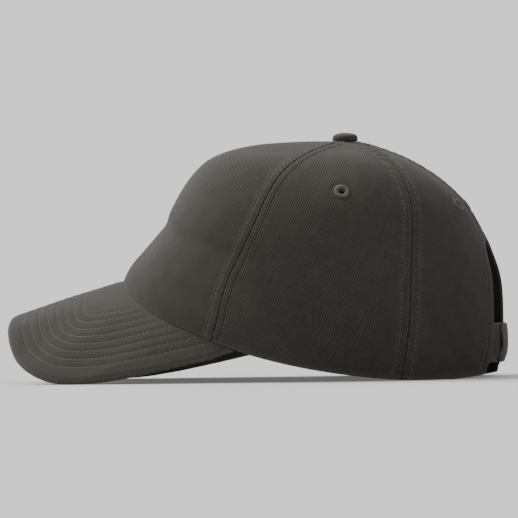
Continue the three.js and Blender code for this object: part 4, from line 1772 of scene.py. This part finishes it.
@dataclass
class Eyelets:
    """Embroidered air holes: a padded ring under closely wound thread."""

    form: CrownForm
    needle: Needle
    radius: float = 4.75 * MM
    hole_radius: float = 1.7 * MM
    relief: float = 0.9 * MM
    clearance: float = 0.3 * MM
    inner_clearance: float = 0.7 * MM
    loops: int = 46
    thread_radius: float = 0.24 * MM
    sides: int = 48
    core_sides: int = 16
    core_depth_share: float = 0.97
    core_width_share: float = 0.95

    def build(self, places: tuple[EyeletPlace, ...]) -> None:
        """Builds both pairs.

        Args:
            places: Where the pairs sit.
        """
        for number, place in enumerate(places):
            for hand in Hand:
                self._eyelet(place, hand, 31 + 2 * number + (hand is Hand.LEFT))

    def _eyelet(self, place: EyeletPlace, hand: Hand, seed: int) -> None:
        """Builds one eyelet.

        Args:
            place: Where its pair sits.
            hand: The side that it is on.
            seed: Seed of its thread's unevenness.
        """
        angle = np.array(hand.value * place.angle)
        row = np.array(place.row)
        centre, normal = self.form.point(angle, row), self.form.normal(angle, row)
        top = self.clearance + self.relief
        foot = -self.form.wall - self.inner_clearance - self.relief
        middle = (top + foot) / 2
        half_depth = (top - foot) / 2 - self.thread_radius
        half_width = (self.radius - self.hole_radius) / 2 - self.thread_radius
        ring_radius = (self.radius + self.hole_radius) / 2
        side = unit(np.cross(normal, (0.0, 0.0, 1.0)))
        up = np.cross(side, normal)
        turn = np.arange(self.sides)[:, None] / self.sides * 2 * math.pi
        spokes = side * np.cos(turn) + up * np.sin(turn)
        ring = centre + normal * middle + spokes * ring_radius
        path = SewnPath(ring, np.broadcast_to(normal, ring.shape), True)
        name = f"eyelet_{place.place}_{hand.name.lower()}"
        sizes = (half_depth, half_width, self.thread_radius)
        wraps = self.needle.wind(f"{name}_thread", path, self.loops, sizes, seed)
        core_sizes = ring_radius, self.core_depth_share * half_depth, self.core_width_share * half_width
        core = self._core(name, centre + normal * middle, spokes, normal, core_sizes)
        bpy.ops.object.select_all(action="DESELECT")
        core.select_set(True)
        wraps.select_set(True)
        bpy.context.view_layer.objects.active = wraps
        bpy.ops.object.join()
        carried(wraps, Slot.THREAD, name)

    def _core(
        self, name: str, middle: Array, spokes: Array, normal: Array, sizes: tuple[float, float, float]
    ) -> bpy.types.Object:
        """The padded ring under the thread.

        Args:
            name: The eyelet's name.
            middle: The ring's centre.
            spokes: Directions from the centre along the cloth.
            normal: The cloth's normal.
            sizes: The ring's radius, half its depth and half its width.

        Returns:
            The ring.
        """
        radius, depth, width = sizes
        count = self.core_sides
        turn = np.arange(count) / count * 2 * math.pi
        offset = spokes[:, None] * (radius + width * np.cos(turn))[None, :, None]
        points = middle + offset + normal * (depth * np.sin(turn))[None, :, None]
        index = np.arange(self.sides * count).reshape(self.sides, count)
        ahead, beside = np.roll(index, -1, axis=0), np.roll(index, -1, axis=1)
        both = np.roll(ahead, -1, axis=1)
        faces = np.stack([index, ahead, both, beside], axis=-1).reshape(-1, 4)
        return mesh_object(f"{name}_core", points.reshape(-1, 3), faces.tolist(), self.needle.thread)


@dataclass(frozen=True)
class StrapGrid:
    """A strap's grid: its rows' shares of the width, its columns' places, and its points."""

    shares: Array
    half_widths: Array
    places: Array
    heights: Array
    base: Array
    normals: Array

    def to_edge(self) -> Array:
        """Distance of each point to the strap's nearest edge."""
        to_long = np.minimum(self.shares, 1 - self.shares)[:, None] * 2 * self.half_widths
        return np.minimum(to_long, np.minimum(self.places, self.places[-1] - self.places))


@dataclass
class BackStrap:
    """The two part strap: an under strap from the left and an over strap from the right."""

    form: CrownForm
    arch: ArchForm
    needle: Needle
    width: float = 21.8 * MM
    foot: float = 8.2 * MM
    thickness: float = 1.6 * MM
    clearance: float = 0.5 * MM
    lift: float = -1.7 * MM
    tuck_margin: float = 1.8 * MM
    flat_half_width: float = 9 * MM
    sewn_angle: float = 148.0
    under_end_angle: float = 205.0
    over_end_angle: float = 172.6
    roll: float = 0.7 * MM
    roll_limit: float = 0.46
    corner: float = 5.0 * MM
    stitch_inset: float = 2.3 * MM
    furrow_depth: float = 0.22 * MM
    furrow_half_width: float = 0.6 * MM
    drape: Drape = Drape(0.12 * MM, 14 * MM, 41)
    drape_start: float = 4 * MM
    bow_up: float = 0.8 * MM
    bow_down: float = 1.7 * MM
    bow_power: float = 2.5
    wear: Band = Band(0.8, 0.4 * MM, 0.8 * MM)
    # The grid: its steps, and places close to an edge
    column_step: float = 0.9 * MM
    inner_rows: int = 16
    end_points: int = 14
    near_end: Array = field(default_factory=lambda: MM * np.array([
        0, 0.1, 0.3, 0.6, 1.0, 1.6, 2.3, 3.0, 3.8, 4.6, 5.4,
    ]))
    near_edge: Array = field(default_factory=lambda: MM * np.array([
        0, 0.1, 0.3, 0.6, 1.0, 1.5, 2.0, 2.5, 3.1,
    ]))

    def _bow(self, shares: Array, y: Array) -> Array:
        """How far the strap's long edges curl towards the head."""
        across = 2 * shares[:, None] - 1
        depth = np.where(across > 0, self.bow_up, self.bow_down)
        return depth * np.abs(across) ** self.bow_power * self._outside(y)

    def _outside(self, y: Array) -> Array:
        """How far out of the arch the strap is at a distance across the back."""
        return 1 - smoothstep(np.abs(y), self.flat_half_width, self.arch.half_width - self.tuck_margin)

    def _under_lift(self, y: Array) -> Array:
        """Height of the under strap's outer face over the crown's surface."""
        tucked = -self.form.wall - self.clearance
        deeper = tucked - self.thickness - self.clearance
        return lerp(np.where(y < 0, tucked, deeper), self.lift, self._outside(y))

    def _over_lift(self, y: Array) -> Array:
        """Height of the over strap's outer face over the crown's surface."""
        tucked = -self.form.wall - self.clearance
        return lerp(tucked, self.lift + self.thickness + self.clearance, self._outside(y))

    def _grid(self, angles: tuple[float, float], free_first: bool) -> StrapGrid:
        """Lays out a strap, with the corners of its free end rounded.

        Args:
            angles: Where it starts and ends.
            free_first: Whether its free end is at the start.

        Returns:
            The grid.
        """
        dense = np.linspace(*angles, SAMPLES)
        middle = self.foot + self.width / 2
        walked = lengths(self.form.point(dense, self.form.row_at(dense, middle)))
        start, end = self.near_end[-1], walked[-1] - self.near_end[-1]
        inner = np.arange(start + self.column_step, end, self.column_step)
        places = closer_at_ends(self.near_end, inner, walked[-1])
        from_end = places if free_first else walked[-1] - places
        cut = np.clip(self.corner - from_end, 0, self.corner)
        half = self.width / 2 - self.corner + np.sqrt(self.corner**2 - cut**2)
        near = self.near_edge / self.width
        inner = np.linspace(near[-1], 1 - near[-1], self.inner_rows)[1:-1]
        shares = closer_at_ends(near, inner, 1)
        heights = middle + (shares[:, None] - 0.5) * 2 * half
        angle_grid = np.broadcast_to(np.interp(places, walked, dense), heights.shape)
        rows = self.form.row_at(angle_grid, heights)
        base, normals = self.form.point(angle_grid, rows), self.form.normal(angle_grid, rows, True)
        return StrapGrid(shares, half, places, heights, base, normals)

    def _strap(
        self, name: str, grid: StrapGrid, lift: Callable[[Array], Array], finish: TwillFinish
    ) -> Array:
        """Builds one strap.

        Args:
            name: The solid's name.
            grid: Its grid.
            lift: Height of its outer face at a distance across the back.
            finish: The finish.

        Returns:
            Points and normals of its outer face.
        """
        to_edge, across = grid.to_edge(), grid.base[..., 1]
        drop = np.minimum(rolled(to_edge, self.roll), self.roll_limit * self.thickness)
        sewn = self.furrow_depth * furrow(to_edge, self.stitch_inset, self.furrow_half_width)
        wave = self.drape.at(grid.base) * smoothstep(to_edge, 0, self.drape_start)
        height = lift(across) - self._bow(grid.shares, across)
        outer = grid.base + grid.normals * (height - drop - sewn + wave)[..., None]
        inner = grid.base + grid.normals * (height - self.thickness + drop + wave)[..., None]
        uv = np.stack([grid.places + 0 * grid.heights, grid.heights], axis=-1)
        wear = self.wear.at(to_edge)
        material = finish.material()
        piece = wall_object(f"{name}_cloth", outer, inner, material, uv, {WEAR_ATTRIBUTE: (wear, wear)})
        carried(piece, Slot.STRAP, name)
        return np.concatenate([outer, grid.normals], axis=-1)

    def build(self, under_finish: TwillFinish, over_finish: TwillFinish) -> None:
        """Builds both straps and sews their edges.

        Args:
            under_finish: Finish of the strap that lies underneath.
            over_finish: Finish of the strap that lies over it.
        """
        straps = (
            ("under", (self.sewn_angle, self.under_end_angle), self._under_lift, False, under_finish),
            ("over", (self.over_end_angle, 360 - self.sewn_angle), self._over_lift, True, over_finish),
        )
        paths = []
        for place, angles, lift, free_first, finish in straps:
            grid = self._grid(angles, free_first)
            face = self._strap(f"back_strap_{place}", grid, lift, finish)
            paths.append(self._edge_path(grid, face, free_first))
        self.needle.sew("strap_stitches", paths, StitchKind(seed=9))

    def _edge_path(self, grid: StrapGrid, face: Array, free_first: bool) -> SewnPath:
        """A row of stitches that follows both long edges and the free end of a strap.

        Args:
            grid: The strap's grid.
            face: Points and normals of its outer face.
            free_first: Whether its free end is at the start.

        Returns:
            The row.
        """
        turn = 1 if free_first else -1
        rows, half = face[:, ::turn], grid.half_widths[::turn]
        places = grid.places if free_first else grid.places[-1] - grid.places[::-1]

        def at(share: float, column: int) -> Array:
            """Point and normal at a share of a column's width."""
            values = rows[:, column].T
            return np.array([np.interp(share, grid.shares, value) for value in values])

        first = int(np.searchsorted(places, self.stitch_inset))
        shares = self.stitch_inset / (2 * half)
        columns = range(first, rows.shape[1])
        lower = [at(shares[column], column) for column in reversed(columns)]
        across = np.linspace(shares[first], 1 - shares[first], self.end_points)
        end = [at(share, first) for share in across[1:-1]]
        upper = [at(1 - shares[column], column) for column in columns]
        return SewnPath.of(np.array(lower + end + upper))


@dataclass
class Studio:
    """A pale floor, one broad soft light and the camera at the photograph's angle."""

    turn: float = 9.0
    roll: float = 0.95
    distance: float = 3.0
    view_width: float = 290.1 * MM
    centre: tuple[float, float, float] = (1.04 * MM, 0.0, 67.6 * MM)
    sensor: float = 36.0
    clip: tuple[float, float] = (0.05, 60.0)
    floor_half_size: float = 9.0
    world_tone: Color = (1.0, 1.0, 1.0)
    world_strength: float = 1.1
    light_towards: tuple[float, float, float] = (-0.67, 0.2, 0.715)
    light_power: float = 6.6
    light_spread: float = 45.0

    def _camera(self) -> None:
        """Adds the camera and makes it the scene's."""
        data = bpy.data.cameras.new("camera")
        data.sensor_width = self.sensor
        data.lens = self.sensor * self.distance / self.view_width
        data.clip_start, data.clip_end = self.clip
        turn, roll = math.radians(self.turn), math.radians(self.roll)
        forward = Vector((-math.sin(turn), math.cos(turn), 0))
        right, up = Vector((math.cos(turn), math.sin(turn), 0)), Vector((0, 0, 1))
        tilted_right = right * math.cos(roll) - up * math.sin(roll)
        tilted_up = up * math.cos(roll) + right * math.sin(roll)
        axes = Matrix((tilted_right, tilted_up, -forward)).transposed().to_4x4()
        camera = bpy.data.objects.new("camera", data)
        camera.matrix_world = Matrix.Translation(Vector(self.centre) - forward * self.distance) @ axes
        bpy.context.collection.objects.link(camera)
        bpy.context.scene.camera = camera

    def _light(self) -> None:
        """Adds a broad, soft light that is even over the floor."""
        data = bpy.data.lights.new("key", "SUN")
        data.energy, data.angle = self.light_power, math.radians(self.light_spread)
        light = bpy.data.objects.new("key", data)
        turned = (-Vector(self.light_towards)).to_track_quat("-Z", "Y")
        light.matrix_world = turned.to_matrix().to_4x4()
        bpy.context.collection.objects.link(light)

    def build(self) -> None:
        """Builds the floor, the world, the light and the camera."""
        half = self.floor_half_size
        corners = np.array([(-half, -half, 0), (half, -half, 0), (half, half, 0), (-half, half, 0)])
        floor = mesh_object("floor", corners, [[0, 1, 2, 3]], FloorFinish().material())
        world = bpy.data.worlds.new("studio")
        world.use_nodes = True
        background = world.node_tree.nodes["Background"]
        background.inputs["Color"].default_value = opaque(self.world_tone)
        background.inputs["Strength"].default_value = self.world_strength
        bpy.context.scene.world = world
        self._light()
        self._camera()


def main() -> None:
    """Builds the studio and every piece of the cap."""
    logging.basicConfig(level=logging.INFO, format="%(name)s %(message)s")
    low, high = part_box("top_button")
    axis = (low[0] + high[0]) / 2
    Studio().build()
    form, arch = CrownForm(axis), ArchForm()
    needle = Needle(ThreadFinish("sewing_thread").material())
    tonal = ThreadFinish("tonal_thread", shade=(0.024, 0.023, 0.019), light=(0.08, 0.075, 0.063))
    crown = Crown(form, arch, needle, tonal.material())
    crown.build(
        TwillFinish("front_twill", lean=157.0, rib_pitch=1.15 * MM, contrast=0.2, pressed_contrast=2.8),
        TwillFinish("side_twill", lean=81.0, contrast=0.85),
        TwillFinish("back_twill", lean=48.0, contrast=0.6),
    )
    # A lighter copy of the sewing thread for the visor's rows: painted light against the shade in their
    # furrows
    pale = ThreadFinish("visor_thread", shade=(0.068, 0.065, 0.055), light=(0.16, 0.154, 0.132))
    Visor(form, needle, pale.material()).build(
        TwillFinish("visor_twill", lean=105.0, rib_pitch=1.5 * MM, contrast=1.2)
    )
    TopButton().build(axis, low[2], TwillFinish("button_twill", lean=35.0, rib_pitch=0.9 * MM, tone=1.15))
    Eyelets(form, needle).build(crown.eyelets)
    # Both straps are the same twill: the over strap's higher tone is painted light, and the under strap's
    # lower tone painted shade
    BackStrap(form, arch, needle).build(
        TwillFinish("under_strap_twill_painted_shade", lean=50.0, rib_pitch=1.0 * MM, tone=0.9),
        TwillFinish("over_strap_twill_painted_light", lean=130.0, rib_pitch=1.0 * MM, tone=1.65),
    )


if __name__ == "__main__":
    main()
